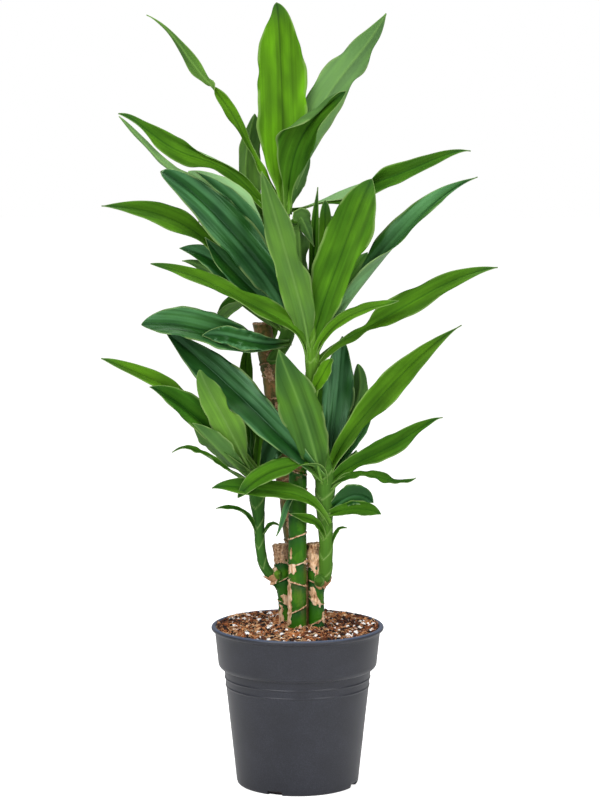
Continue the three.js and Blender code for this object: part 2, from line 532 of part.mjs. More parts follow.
// One blade as a closed strip. Each step has six points, the left margin, the midrib and the right
// margin on the upper face and back again on the lower one.
function bladeGeometry(blade) {
  const { at, face, fold = 20, roll = [[0, 0]], wave = 2, waves = 1.7 } = blade;
  const places = stepPlaces(blade);
  const curve = new ThroughPoints(at);
  const look = new THREE.Vector3(...face);
  const phase = at.at(-1)[0] / 10;
  const position = [];
  for (const t of places) {
    const rib = curve.getPoint(t);
    const along = curve.getTangent(t);
    const up = look.clone().addScaledVector(along, -look.dot(along)).normalize();
    up.applyAxisAngle(along, THREE.MathUtils.degToRad(stepped(t, roll)));
    const across = along.clone().cross(up);
    const lift = mix(CLASP_ANGLE, fold, THREE.MathUtils.smoothstep(t, 0, 0.3));
    const half = halfWidth(t, blade);
    const thick = BLADE_RIB + 1.5 * (1 - t) ** 3;
    const calm = Math.sin(Math.PI * t);
    const [left, right] = [-1, 1].map((side) => {
      const { out, rise, slope } = halfSection(lift, bentOver(t, side, blade.curl));
      const reach = half * nipped(t, side, blade);
      const normal = up.clone().multiplyScalar(Math.cos(slope));
      normal.addScaledVector(across, -side * Math.sin(slope));
      const edge = rib.clone().addScaledVector(across, side * out * reach).addScaledVector(up, rise * reach);
      edge.addScaledVector(normal, wave * calm * Math.sin(2 * Math.PI * waves * t + side + phase));
      return { edge, normal: normal.multiplyScalar(BLADE_EDGE / 2) };
    });
    position.push(left.edge.clone().add(left.normal));
    position.push(rib.clone().addScaledVector(up, thick / 2));
    position.push(right.edge.clone().add(right.normal));
    position.push(right.edge.clone().sub(right.normal));
    position.push(rib.clone().addScaledVector(up, -thick / 2));
    position.push(left.edge.clone().sub(left.normal));
  }
  const round = 6;
  const index = [];
  for (let step = 0; step < places.length - 1; step += 1) {
    for (let i = 0; i < round; i += 1) {
      const [a, b] = [step * round + i, step * round + ((i + 1) % round)];
      const mirrored = i === 1 || i === 4;
      if (mirrored) index.push(a, b, b + round, a, b + round, a + round);
      else index.push(a, b, a + round, b, b + round, a + round);
    }
  }
  const last = (places.length - 1) * round;
  for (const [a, b, c] of [[0, 1, 4], [0, 4, 5], [1, 2, 3], [1, 3, 4]]) {
    index.push(a, c, b);
    index.push(last + a, last + b, last + c);
  }
  const geometry = new THREE.BufferGeometry().setFromPoints(position);
  geometry.setIndex(index);
  return geometry;
}

// A round stalk along a smooth path. grow makes it larger all round and at its butt, for its socket.
function stalkSolid({ stalk, radius }, grow = 0) {
  const points = stalk.map((point) => new THREE.Vector3(...point));
  const butt = points[0].clone().sub(points[1]).normalize();
  points[0].addScaledVector(butt, grow);
  const section = new THREE.Shape();
  for (let i = 0; i < STALK_SIDES; i += 1) {
    const turn = (2 * Math.PI * i) / STALK_SIDES;
    const corner = [Math.cos(turn) * (radius + grow), Math.sin(turn) * (radius + grow)];
    if (i === 0) section.moveTo(...corner);
    else section.lineTo(...corner);
  }
  const extrudePath = new THREE.CatmullRomCurve3(points);
  return solidOf(new THREE.ExtrudeGeometry(section, { steps: STALK_STEPS, extrudePath }));
}

// The furled young blades that go on from the stalk's end and close to a point.
function spearSolid({ stalk, radius, spear }) {
  const end = new THREE.Vector3(...stalk.at(-1));
  const before = new THREE.Vector3(...stalk.at(-2));
  const way = end.clone().sub(before).normalize();
  const profile = [[0, -12], [radius, -12], [radius * 1.15, 0], [radius * 0.7, spear / 2], [0, spear]];
  const geometry = turned(profile, STALK_SIDES);
  geometry.applyQuaternion(new THREE.Quaternion().setFromUnitVectors(new THREE.Vector3(0, 0, 1), way));
  geometry.translate(end.x, end.y, end.z);
  return solidOf(geometry);
}

function headSolid(head) {
  const blades = head.blades.map((blade) => solidOf(bladeGeometry(blade)));
  const stem = stalkSolid(head).add(spearSolid(head));
  return mainBody(blades.reduce((solid, blade) => solid.add(blade), stem));
}

// ---- the plant ----------------------------------------------------------------------------------------

function knuckleSolid([x, y, z]) {
  return solidOf(new THREE.SphereGeometry(KNUCKLE_RADIUS, 10, 7).translate(x, y, z));
}

const plant = new THREE.Group();
plant.add(meshOf('pot', potSolid(), '#46464c', 0.55));

const holes = Object.values(CANES).map((cane) => caneSolid(cane, SEAT_GAP));
plant.add(meshOf('soil', soilSolid(holes), '#5a3a28', 1));

for (const [name, cane] of Object.entries(CANES)) {
  let solid = caneSolid(cane);
  if (KNUCKLES[name]) solid = solid.add(knuckleSolid(KNUCKLES[name]));
  for (const head of Object.values(HEADS).filter((each) => each.cane === name)) {
    solid = solid.subtract(stalkSolid(head, SEAT_GAP));
  }
  plant.add(meshOf(name, mainBody(solid), '#7d6a45', 0.8));
}

for (const [name, head] of Object.entries(HEADS)) {
  plant.add(meshOf(name, headSolid(head), head.colour, 0.5));
}

export default plant;
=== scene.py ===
"""A corn plant in a nursery pot: four cut canes, five leafy heads, and coir with perlite.

Metres in the scene, millimetres in every size below. The origin is the middle of the pot's underside,
+Z is up and -Y is the side that the picture shows.
"""

import math

import bpy
import numpy as np
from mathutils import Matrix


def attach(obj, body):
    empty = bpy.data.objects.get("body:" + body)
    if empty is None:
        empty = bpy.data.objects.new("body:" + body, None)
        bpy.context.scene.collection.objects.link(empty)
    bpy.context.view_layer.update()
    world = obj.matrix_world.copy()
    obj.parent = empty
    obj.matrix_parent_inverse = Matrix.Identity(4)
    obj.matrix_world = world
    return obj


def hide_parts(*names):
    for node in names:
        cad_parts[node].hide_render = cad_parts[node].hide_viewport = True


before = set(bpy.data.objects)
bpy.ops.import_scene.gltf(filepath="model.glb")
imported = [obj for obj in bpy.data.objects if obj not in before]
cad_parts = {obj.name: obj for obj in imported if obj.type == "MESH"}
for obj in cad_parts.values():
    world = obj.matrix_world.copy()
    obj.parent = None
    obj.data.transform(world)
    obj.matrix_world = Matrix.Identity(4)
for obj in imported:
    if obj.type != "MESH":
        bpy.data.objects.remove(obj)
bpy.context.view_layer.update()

# ---- sizes, millimetres ---------------------------------------------------------------------------------

MM = 0.001

POT_HEIGHT = 176
POT_WALL = 1.8
POT_FLOOR = 3
LIP_RADIUS = 95
COLLAR_TOP_RADIUS = 91
COLLAR_FOOT_RADIUS = 87.5
COLLAR_FOOT = 135.5
STEP_FOOT = 128.5
WALL_TOP_RADIUS = 81
WALL_FOOT_RADIUS = 67
BEAD = 2.4  # radius of the rolled lip
RAISED_LINES = (110, 119)
LINE_RELIEF = 0.7
LINE_HALF = 0.9  # half the width of a raised line
LINE_REACH = 2.4  # how far the closer rows round a raised line go, up and down
POT_SECTORS = 240
DRAIN_HOLES = 4
DRAIN_SECTORS = 10  # sectors that each drain hole takes: 10 of 240 are 15 degrees, 17 mm at the foot
DRAIN_HEIGHT = 4.5
DRAIN_REACH = 6  # how far under the pot each hole goes
DRAIN_TURN = -112  # degrees from +X to the first drain hole

SOIL_EDGE = 174.5
SOIL_HEAP = 2.5
SOIL_SINK = 0.6  # how far the fine surface lies below the solid's, to leave room for grains
SOIL_GAP = 0.6  # left free between the mix's top and the pot
SOIL_RINGS = 96
SOIL_SECTORS = 300
FIBRE_REACH = 89  # fibres that would reach past this radius are drawn in
PEAT_PATCHES = 0.5  # how much darker or paler the mix is from patch to patch

CANE_SECTORS = 96
CANE_STEP = 0.7  # from one ring to the next
CUT_ROUNDING = 1.5  # how far below its cut top a cane begins to round off
SCAR_WIDTH = 1.5
SPOTS_FROM = 180  # height from which a cane's back has random spots of cork
SPOT_STEP = 14  # a cane has one such spot for each step of this height
CREASES_FROM = 26  # how far below the cut top the creases begin
CREASES_FULL = 14  # and have their full depth
KNUCKLE_TURN = 0.75  # half the width of a knuckle, in radians
KNUCKLE_RISE = 8  # half its height

LAP_STEP = 22  # from one leaf sheath to the next along a shoot
LAP_RISE = 26  # how much higher a sheath's edges are behind than in front
LAP_TURN = 0.35  # radians from the front to where they meet
SHOOT_SECTORS = 32
SPREAD_BELOW = 18  # how far below the foot of its spear a shoot is widest
SPREAD_REACH = 30  # half the length of that swelling

HUSK_SECTORS = 72
HUSK_THICK = 0.5
STRIP_THICK = 0.6

BLADE_ROWS = 84
BLADE_COLUMNS = 21
BLADE_EDGE = 0.5  # how thick a blade is at its margins
BLADE_FLESH = 0.75  # and beside its rib
CLASP_ANGLE = 60  # how steeply both halves of a blade rise where it clasps the shoot, in degrees
CLASP_HALF = 6.5  # half a blade's width there
TIP_HALF = 0.6  # the least half width, at the tip
NIP_REACH = 0.08  # half the length of a nip, as a share of the blade's length
CURL_REACH = (0.1, 1)  # the shares of the half width that bend where a row of curl gives none
MATURE_TONE = 0.3  # a blade with a darker tone than this is one of the mature, glossy ones
WAVER = 0.05  # how far a margin wavers, as a share of the half width
WAVERS = ((2.3, 1), (5.3, 0.6), (9.7, 0.3))  # waves of a margin along the blade, and their shares of that
RIPPLE_WIDTH = 5.5  # from one fine ripple across a blade to the next

# The camera: fitted to the ellipses of the pot's rim and foot in the 600 by 800 picture.
PICTURE_HEIGHT_PX = 800
FOCAL_LENGTH_PX = 2300
SENSOR = 36
CAMERA_PLACE = (2.7, -2498, 674)
CAMERA_DOWN = 5.7

# ---- numbers --------------------------------------------------------------------------------------------

def mix(low, high, share):
    """low where share is 0, high where it is 1, and a straight blend between."""
    return low + (high - low) * share


def smooth(value, low=0.0, high=1.0):
    """The S-curve 3s^2 - 2s^3 of how far value lies from low to high."""
    share = np.clip((value - low) / (high - low), 0, 1)
    return share * share * (3 - 2 * share)


def bell(distance, reach):
    """exp(-(distance / reach)^2)."""
    return np.exp(-(distance / reach) ** 2)


def unit(vectors):
    """Each vector divided by its length."""
    return vectors / np.maximum(np.linalg.norm(vectors, axis=-1, keepdims=True), 1e-9)


LATTICE = np.random.default_rng(7).random((32, 32, 32))


def noise(points, size, octaves=3):
    """Smooth noise from -1 to 1: random values on a lattice with the given spacing, blended by the S-curve
    along x, y and z, plus the same at half the spacing and half the height for each further octave."""
    total = np.zeros(points.shape[:-1])
    height = 1.0
    for octave in range(octaves):
        place = points / size * 2 ** octave + 11.3 * octave
        low = np.floor(place).astype(int)
        share = smooth(place - low)
        value = np.zeros_like(total)
        for corner in np.ndindex(2, 2, 2):
            weight = np.prod(np.where(corner, share, 1 - share), axis=-1)
            cell = (low + corner) % 32
            value += weight * LATTICE[cell[..., 0], cell[..., 1], cell[..., 2]]
        total += (2 * value - 1) * height
        height /= 2
    return total


def stepped(t, stops):
    """The value at t, for stops of (place, value): it goes from each to the next by an S-curve."""
    total = stops[0][1] + 0 * t
    for (place, value), (next_place, next_value) in zip(stops, stops[1:]):
        total = total + (next_value - value) * smooth(t, place, next_place)
    return total


def curve_through(points, t):
    """The polynomial that passes the points at even steps of t from 0 to 1: each point is weighted by the
    product, over every other step, of how far t is from it, as a share of how far its own step is."""
    steps = np.arange(len(points)) / (len(points) - 1)
    curve = 0
    for own, point in zip(steps, points):
        weight = np.prod([(t - other) / (own - other) for other in steps if other != own], axis=0)
        curve = curve + weight * np.array(point, float)
    return curve


def path_through(points, count):
    """Points along a smooth path through the given ones: cubic pieces whose slopes at each given point are
    the weighted mean of the chords on both sides, with steps that grow as the square root of the chord."""
    points = np.array(points, float)
    steps = np.sqrt(np.linalg.norm(np.diff(points, axis=0), axis=1))
    knots = np.concatenate([[0], np.cumsum(steps)])
    slopes = np.gradient(points, knots, axis=0, edge_order=2)
    at = np.linspace(0, knots[-1], count)
    piece = np.clip(np.searchsorted(knots, at, side="right") - 1, 0, len(steps) - 1)
    width = steps[piece][:, None]
    t = (at - knots[piece])[:, None] / width
    return (
        (2 * t**3 - 3 * t**2 + 1) * points[piece]
        + (t**3 - 2 * t**2 + t) * width * slopes[piece]
        + (3 * t**2 - 2 * t**3) * points[piece + 1]
        + (t**3 - t**2) * width * slopes[piece + 1]
    )


def lengths_along(path):
    """How far along a path each of its points lies."""
    return np.concatenate([[0], np.cumsum(np.linalg.norm(np.diff(path, axis=0), axis=1))])


def around(radius, angle, height):
    """Points about the z axis: x = r cos a, y = r sin a, and the height."""
    return np.stack(np.broadcast_arrays(radius * np.cos(angle), radius * np.sin(angle), height), axis=-1)


def ways_out(along, angle):
    """Unit vectors square to each direction along a stem, at each angle about it from the front, -Y."""
    left = unit(np.cross(along, [0.0, 1, 0]))
    back = np.cross(left, along)
    return left * np.sin(angle)[:, None] - back * np.cos(angle)[:, None]


# ---- meshes ---------------------------------------------------------------------------------------------

def grid_faces(rows, columns, closed=False, looped=False):
    """Four-sided faces between neighbouring rows and columns of points. A closed grid also joins the last
    column to the first, and a looped one the last row to the first."""
    index = np.arange(rows * columns).reshape(rows, columns)
    index = np.pad(index, ((0, int(looped)), (0, int(closed))), mode="wrap")
    corners = index[:-1, :-1], index[:-1, 1:], index[1:, 1:], index[1:, :-1]
    return np.stack(corners, axis=-1).reshape(-1, 4)


def outward(points, faces):
    """The faces, turned round where the volume that they enclose comes out negative. The last corner of a
    three-sided face stays twice at the end."""
    a, b, c, d = (points[faces[:, i]] for i in range(4))
    volume = np.einsum("ij,ij->i", a, np.cross(b, c) + np.cross(c, d)).sum()
    return faces if volume > 0 else faces[:, [1, 0, 3, 2]]


def tube_part(rings, **layers):
    """A closed tube: rings is an array of rows of points, each row one ring. Both ends close on their mean
    point, with three-sided faces that are written with their last corner twice."""
    rows, columns = rings.shape[:2]
    points = np.concatenate([rings.reshape(-1, 3), rings[:1].mean(axis=1), rings[-1:].mean(axis=1)])
    start, end = rows * columns, rows * columns + 1
    first = np.arange(columns)
    second = np.roll(first, -1)
    last = first + (rows - 1) * columns
    low_end = np.stack([second, first, np.full(columns, start), np.full(columns, start)], axis=-1)
    high_end = np.stack([last, last[second], np.full(columns, end), np.full(columns, end)], axis=-1)
    faces = np.concatenate([grid_faces(rows, columns, closed=True), low_end, high_end])
    made = {
        name: np.concatenate([np.ravel(value), [np.mean(value[0]), np.mean(value[-1])]])
        for name, value in layers.items()
    }
    return dict(points=points, faces=outward(points, faces), layers=made)


def joined(parts):
    """Several parts as one: points, faces and layers of values one after another."""
    starts = np.cumsum([0] + [len(part["points"]) for part in parts[:-1]])
    names = parts[0]["layers"]
    return dict(
        points=np.concatenate([part["points"] for part in parts]),
        faces=np.concatenate([part["faces"] + start for part, start in zip(parts, starts)]),
        layers={name: np.concatenate([part["layers"][name] for part in parts]) for name in names},
    )


def make_piece(name, part, material, nodes):
    """A Blender object from a part in millimetres. A face whose last two corners are one point is made
    three-sided. The layers "along" and "across" become its UV map, in metres, and the others attributes."""
    faces = part["faces"]
    sides = np.where(faces[:, 2] == faces[:, 3], 3, 4)
    corners = faces.ravel()[(np.arange(4) < sides[:, None]).ravel()]
    mesh = bpy.data.meshes.new(name)
    mesh.vertices.add(len(part["points"]))
    mesh.vertices.foreach_set("co", (part["points"] * MM).ravel())
    mesh.loops.add(len(corners))
    mesh.loops.foreach_set("vertex_index", corners.astype(np.int32))
    mesh.polygons.add(len(faces))
    mesh.polygons.foreach_set("loop_start", (np.cumsum(sides) - sides).astype(np.int32))
    mesh.polygons.foreach_set("use_smooth", np.ones(len(faces), bool))
    layers = dict(part["layers"])
    if "along" in layers:
        flat = np.stack([layers.pop("along"), layers.pop("across")], axis=-1) * MM
        mesh.uv_layers.new(name="Surface").data.foreach_set("uv", flat[corners].ravel())
    for layer, values in layers.items():
        mesh.attributes.new(layer, "FLOAT", "POINT").data.foreach_set("value", values.astype(np.float32))
    mesh.update(calc_edges=True)
    mesh.validate()
    mesh.materials.append(material)
    piece = bpy.data.objects.new(name, mesh)
    bpy.context.scene.collection.objects.link(piece)
    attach(piece, "root")
    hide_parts(*nodes)
    return piece


# ---- materials ------------------------------------------------------------------------------------------

def linear(colour):
    """An sRGB hex colour as linear red, green, blue and a full alpha. Anything else stays as it is."""
    if not isinstance(colour, str):
        return colour
    parts = [int(colour[i:i + 2], 16) / 255 for i in (1, 3, 5)]
    return *[c / 12.92 if c <= 0.04045 else ((c + 0.055) / 1.055) ** 2.4 for c in parts], 1.0


def add(tree, kind, inputs=(), output=0, stops=(), **settings):
    """A shader node of a kind, with its settings, the stops of its colour ramp, and its inputs, each a
    value, a hex colour or a socket to link. Gives the output with this number or name."""
    node = tree.nodes.new("ShaderNode" + kind)
    for name, value in settings.items():
        setattr(node, name, value)
    for i, (place, colour) in enumerate(stops):
        ramp = node.color_ramp.elements
        stop = ramp[i] if i < 2 else ramp.new(place)
        stop.position = place
        stop.color = linear(colour)
    for key, value in dict(inputs).items():
        if isinstance(value, bpy.types.NodeSocket):
            tree.links.new(value, node.inputs[key])
        else:
            node.inputs[key].default_value = linear(value)
    return node.outputs[output] if node.outputs else None


def new_material(name):
    """A material and its empty node tree."""
    material = bpy.data.materials.new(name)
    material.use_nodes = True
    material.node_tree.nodes.clear()
    return material, material.node_tree


def moulded_polypropylene():
    """The pot. Injection-moulded recycled polypropylene: near-black grey with a fine even grain, satin, so
    its sides go pale where they turn away, with a painted bluish reflection along the top of the lip."""
    material, tree = new_material("moulded_polypropylene")
    place = add(tree, "TexCoord", output="Object")
    grain = add(tree, "TexNoise", {"Vector": place, "Scale": 1 / (1.1 * MM), "Detail": 2.0})
    cloud = add(tree, "TexNoise", {"Vector": place, "Scale": 1 / (28 * MM), "Detail": 3.0})
    both = add(tree, "Mix", {0: 0.3, 2: grain, 3: cloud})
    colour = add(tree, "ValToRGB", {0: both}, stops=[(0.3, "#181a22"), (0.5, "#21232c"), (0.75, "#31333f")])
    height = add(tree, "SeparateXYZ", {0: place}, "Z")
    # Painted reflection: a bluish band over the top 1.6 mm of the lip.
    edge = {"From Min": (POT_HEIGHT - 1.6) * MM, "From Max": (POT_HEIGHT - 0.6) * MM}
    lip_reflection = add(tree, "MapRange", {"Value": height, **edge})
    surface = add(tree, "BsdfPrincipled", {
        "Base Color": add(tree, "Mix", {0: lip_reflection, 6: colour, 7: "#46526b"}, 2, data_type="RGBA"),
        "Roughness": add(tree, "MapRange", {"Value": grain, "To Min": 0.38, "To Max": 0.52}),
        "Sheen Weight": 0.16,
        "Sheen Roughness": 0.4,
        "Normal": add(tree, "Bump", {"Height": grain, "Strength": 0.25, "Distance": 0.12 * MM}),
    })
    add(tree, "OutputMaterial", {"Surface": surface})
    return material


def grained(name, stops, rough, coarse, fine, relief):
    """A dull natural material, such as peat, fibre or mineral: its colour follows the attribute "shade" of
    each grain, broken up by noise of the coarse and fine sizes in millimetres."""
    material, tree = new_material(name)
    place = add(tree, "TexCoord", output="Object")
    own = add(tree, "Attribute", output="Fac", attribute_name="shade")
    broad = add(tree, "TexNoise", {"Vector": place, "Scale": 1 / (coarse * MM), "Detail": 3.0})
    small = add(tree, "TexNoise", {"Vector": place, "Scale": 1 / (fine * MM), "Detail": 4.0})
    both = add(tree, "Math", {0: broad, 1: small}, operation="ADD")
    varied = add(tree, "Math", {0: both, 1: 0.35, 2: own}, operation="MULTIPLY_ADD")
    centred = add(tree, "Math", {0: varied, 1: 0.35}, operation="SUBTRACT")
    surface = add(tree, "BsdfPrincipled", {
        "Base Color": add(tree, "ValToRGB", {0: centred}, stops=stops),
        "Roughness": rough,
        "Normal": add(tree, "Bump", {"Height": small, "Strength": 0.6, "Distance": relief * MM}),
    })
    add(tree, "OutputMaterial", {"Surface": surface})
    return material


def peat_and_coir():
    """The bulk of the potting mix. Damp peat and ground coir: dark red-brown, quite dull."""
    stops = [(0, "#120905"), (0.35, "#3d1e10"), (0.65, "#7c4423"), (1, "#b47040")]
    return grained("peat_and_coir", stops, rough=0.95, coarse=6, fine=1.6, relief=0.9)


def coir_fibre():
    """Loose coconut fibre on the mix: dry, orange to tan brown, paler than the peat beneath."""
    stops = [(0, "#6e371a"), (0.35, "#b46a38"), (0.7, "#de9d65"), (1, "#f4cea0")]
    return grained("coir_fibre", stops, rough=0.85, coarse=5, fine=1, relief=0.1)


def perlite():
    """Expanded volcanic glass: chalk white, rough popcorn-like grains with a few grey specks."""
    stops = [(0, "#b9b3a8"), (0.3, "#dedad2"), (0.6, "#f2f0ec"), (1, "#ffffff")]
    return grained("perlite", stops, rough=0.8, coarse=2, fine=0.8, relief=0.3)


def papery_husk():
    """Dried leaf bases round the joints: thin, tan and papery, mottled and rough."""
    stops = [(0, "#6d4526"), (0.35, "#a5764a"), (0.7, "#cda074"), (1, "#e6c9a0")]
    return grained("papery_husk", stops, rough=0.75, coarse=7, fine=1.2, relief=0.4)


# The colours of a cane's bark: its green from shaded to light, the brown of its oldest part, and its cork,
# fresh and worn. A dark line runs round each patch of cork.
BARK_GREEN = [(0.1, "#1c4a0e"), (0.35, "#2c620e"), (0.6, "#447612"), (0.9, "#6f9230")]
BARK_BROWN = [(0.55, "#33301a"), (0.75, "#5c5230"), (0.9, "#86603f")]
CORK_FRESH = [(0.3, "#6a432d"), (0.42, "#b58a66"), (0.54, "#dcb591"), (0.75, "#f2dec6")]
CORK_WORN = [(0.35, "#37241a"), (0.5, "#87644a"), (0.65, "#b8977a")]
CORK_EDGE = [(0.5, "#ffffff"), (0.68, "#5a3a26"), (0.8, "#ffffff")]


def living_cane_bark():
    """Dracaena bark: smooth green where it is young, deeper under each leaf scar, olive brown where it is
    old, with dry tan cork on the scars and where the skin has split. The attributes cork, old, light and
    node say where each one is."""
    material, tree = new_material("living_cane_bark")
    place = add(tree, "TexCoord", output="Object")
    upright = add(tree, "Mapping", {"Vector": place, "Scale": (1, 1, 0.3)})
    value = {
        name: add(tree, "Attribute", output="Fac", attribute_name=name)
        for name in ("cork", "old", "light", "node")
    }
    mottle = add(tree, "TexNoise", {"Vector": upright, "Scale": 1 / (8 * MM), "Detail": 3.0})
    crumb = add(tree, "TexNoise", {"Vector": place, "Scale": 1 / (2.2 * MM), "Detail": 4.0})
    flake = add(tree, "TexNoise", {"Vector": upright, "Scale": 1 / (2.6 * MM), "Detail": 5.0})

    shade = add(tree, "Math", {0: mottle, 1: 0.45, 2: value["light"]}, operation="MULTIPLY_ADD")
    green = add(tree, "ValToRGB", {0: shade}, stops=BARK_GREEN)
    fresh = add(tree, "Mix", {0: value["node"], 6: green, 7: "#103c22"}, 2, data_type="RGBA")
    dapple = add(tree, "Math", {0: crumb, 1: 0.6, 2: mottle}, operation="MULTIPLY_ADD")
    brown = add(tree, "ValToRGB", {0: dapple}, stops=BARK_BROWN)
    bark = add(tree, "Mix", {0: value["old"], 6: fresh, 7: brown}, 2, data_type="RGBA")

    cork = add(tree, "ValToRGB", {0: flake}, stops=CORK_FRESH)
    worn = add(tree, "ValToRGB", {0: crumb}, stops=CORK_WORN)
    aged = add(tree, "Math", {0: value["old"], 1: 0.75}, operation="MULTIPLY")
    tan = add(tree, "Mix", {0: aged, 6: cork, 7: worn}, 2, data_type="RGBA")
    ragged = add(tree, "Math", {0: crumb, 1: 0.5, 2: value["cork"]}, operation="MULTIPLY_ADD")
    edge = add(tree, "ValToRGB", {0: ragged}, stops=CORK_EDGE)
    edged = add(tree, "Mix", {0: 0.85, 6: bark, 7: edge}, 2, data_type="RGBA", blend_type="MULTIPLY")
    corky = add(tree, "MapRange", {"Value": ragged, "From Min": 0.7, "From Max": 0.78})
    raised = add(tree, "Math", {0: corky, 1: 0.8, 2: 0.1}, operation="MULTIPLY_ADD")
    height = add(tree, "Math", {0: flake, 1: raised}, operation="MULTIPLY")
    surface = add(tree, "BsdfPrincipled", {
        "Base Color": add(tree, "Mix", {0: corky, 6: edged, 7: tan}, 2, data_type="RGBA"),
        "Roughness": add(tree, "MapRange", {"Value": corky, "To Min": 0.38, "To Max": 0.85}),
        "Specular IOR Level": 0.25,
        "Specular Tint": "#d8f0b8",
        "Normal": add(tree, "Bump", {"Height": height, "Strength": 1.0, "Distance": 1.0 * MM}),
    })
    add(tree, "OutputMaterial", {"Surface": surface})
    return material


# The flesh of a leaf from its deepest tone to its brightest, above and beneath.
LEAF_ABOVE = [(0.0, "#133c16"), (0.15, "#1d4b15"), (0.3, "#295612"), (0.5, "#396413"), (0.68, "#487515"),
              (0.88, "#588e14"), (1.0, "#6c9a1e")]
LEAF_BENEATH = [(0.0, "#2c5430"), (0.4, "#41682a"), (0.6, "#456b1a"), (0.8, "#527b1c"), (1.0, "#68912a")]
# Streaks along a leaf: how long and how wide in millimetres, and the least and the most brightness that
# they give it.
LEAF_STREAKS = dict(stripe=(240, 7, 0.8, 1.2), vein=(160, 2.8, 0.84, 1.16), cloud=(40, 13, 0.86, 1.14))
# What lies over the flesh, the lowest first: the most that shows of it, and its colour. The crease is
# painted shade in the groove along the rib.
LEAF_PAINTS = dict(silver=(1.0, "#8fba80"), tip=(0.4, "#1f4526"), rib=(0.4, "#82ad56"),
                   rim=(0.5, "#9cb870"), pale=(0.7, "#6d9a3c"), crease_shade=(1.0, "#16350c"))


def strap_leaf(name, rough, gloss, tint, relief, painted_highlight):
    """The skin of a strap leaf, over lengthwise veins: bright or deep green above by the attribute tone and
    greyer beneath, with painted shade in the groove along the upper side and a paler rib, margin and base.
    Roughness runs in streaks from the first value of rough to the second, gloss is the strength of the
    reflection, tint its colour, which the green flesh lends to the wax, relief the veins' height in mm, and
    the last argument how much bluish highlight is painted in streaks along the veins."""
    material, tree = new_material(name)
    flat = add(tree, "UVMap", uv_map="Surface")
    value = {
        name: add(tree, "Attribute", output="Fac", attribute_name=name)
        for name in ("tone", "under", "silver", "rib", "rim", "pale", "tip", "grain")
    }
    streaks = {}
    for streak, (along, across, _, _) in LEAF_STREAKS.items():
        often = (1 / (along * MM), 1 / (across * MM), 1)
        place = add(tree, "VectorMath", {0: flat, 1: often, 2: value["grain"]}, operation="MULTIPLY_ADD")
        streaks[streak] = add(tree, "TexNoise", {"Vector": place, "Scale": 1.0, "Detail": 1.0})
    clouded = add(tree, "MapRange", {"Value": streaks["cloud"], "To Min": -0.2, "To Max": 0.2})
    tone = add(tree, "Math", {0: clouded, 1: value["tone"]}, operation="ADD")
    above = add(tree, "ValToRGB", {0: tone}, stops=LEAF_ABOVE)
    beneath = add(tree, "ValToRGB", {0: tone}, stops=LEAF_BENEATH)
    colour = add(tree, "Mix", {0: value["under"], 6: above, 7: beneath}, 2, data_type="RGBA")
    for streak, (_, _, least, most) in LEAF_STREAKS.items():
        ends = {"From Min": 0.3, "From Max": 0.7, "To Min": least, "To Max": most}
        brightness = add(tree, "MapRange", {"Value": streaks[streak], **ends})
        colour = add(tree, "VectorMath", {0: colour, 1: brightness}, operation="MULTIPLY")

    # Painted highlight: bluish streaks along the veins, mixed into the colour as if light lay on the wax.
    streaky = add(tree, "MapRange", {"Value": streaks["stripe"], "From Min": 0.46, "From Max": 0.64})
    value["painted_highlight"] = add(tree, "Math", {0: streaky, 1: streaks["cloud"]}, operation="MULTIPLY")
    across = add(tree, "SeparateXYZ", {0: flat}, "Y")
    off_rib = add(tree, "Math", {0: across}, operation="ABSOLUTE")
    # Painted shade: a dark line in the groove along the rib, on the upper side only.
    ends = {"From Min": 0.3 * MM, "From Max": 1.1 * MM, "To Min": 0.25, "To Max": 0.0}
    groove_shade = add(tree, "MapRange", {"Value": off_rib, **ends})
    upper = add(tree, "Math", {0: 1.0, 1: value["under"]}, operation="SUBTRACT")
    value["crease_shade"] = add(tree, "Math", {0: groove_shade, 1: upper}, operation="MULTIPLY")
    for layer, (most, paint) in {"painted_highlight": (painted_highlight, "#639c6c"), **LEAF_PAINTS}.items():
        share = add(tree, "Math", {0: value[layer], 1: most}, operation="MULTIPLY")
        colour = add(tree, "Mix", {0: share, 6: colour, 7: paint}, 2, data_type="RGBA")

    dull = add(tree, "Math", {0: value["under"], 1: 0.12, 2: streaks["stripe"]}, operation="MULTIPLY_ADD")
    height = add(tree, "Math", {0: streaks["vein"], 1: 0.3, 2: streaks["stripe"]}, operation="MULTIPLY_ADD")
    ends = {"From Min": 0.3, "From Max": 0.75, "To Min": rough[0], "To Max": rough[1]}
    surface = add(tree, "BsdfPrincipled", {
        "Base Color": colour,
        "Roughness": add(tree, "MapRange", {"Value": dull, **ends}),
        "Specular IOR Level": gloss,
        "Specular Tint": tint,
        "Normal": add(tree, "Bump", {"Height": height, "Strength": 1.0, "Distance": relief * MM}),
    })
    add(tree, "OutputMaterial", {"Surface": surface})
    return material


def young_leaf():
    """Young strap leaves: fresh yellow-green, under thin wax that hardly shines."""
    return strap_leaf("young_leaf", (0.42, 0.62), gloss=0.14, tint="#c8ff8c", relief=0.6, painted_highlight=0.0)


def mature_leaf():
    """Older strap leaves: deep green, waxy and glossy, with a bluish highlight painted in streaks along the
    veins."""
    # Its bluish streaks are a painted highlight.
    return strap_leaf("mature_leaf", (0.28, 0.5), gloss=0.45, tint="#bdffc8", relief=1.0, painted_highlight=0.58)


# ---- pot ------------------------------------------------------------------------------------------------

def wall_radius(height):
    """The straight taper of the pot's wall from its foot up to the step."""
    return mix(WALL_FOOT_RADIUS, WALL_TOP_RADIUS, height / STEP_FOOT)


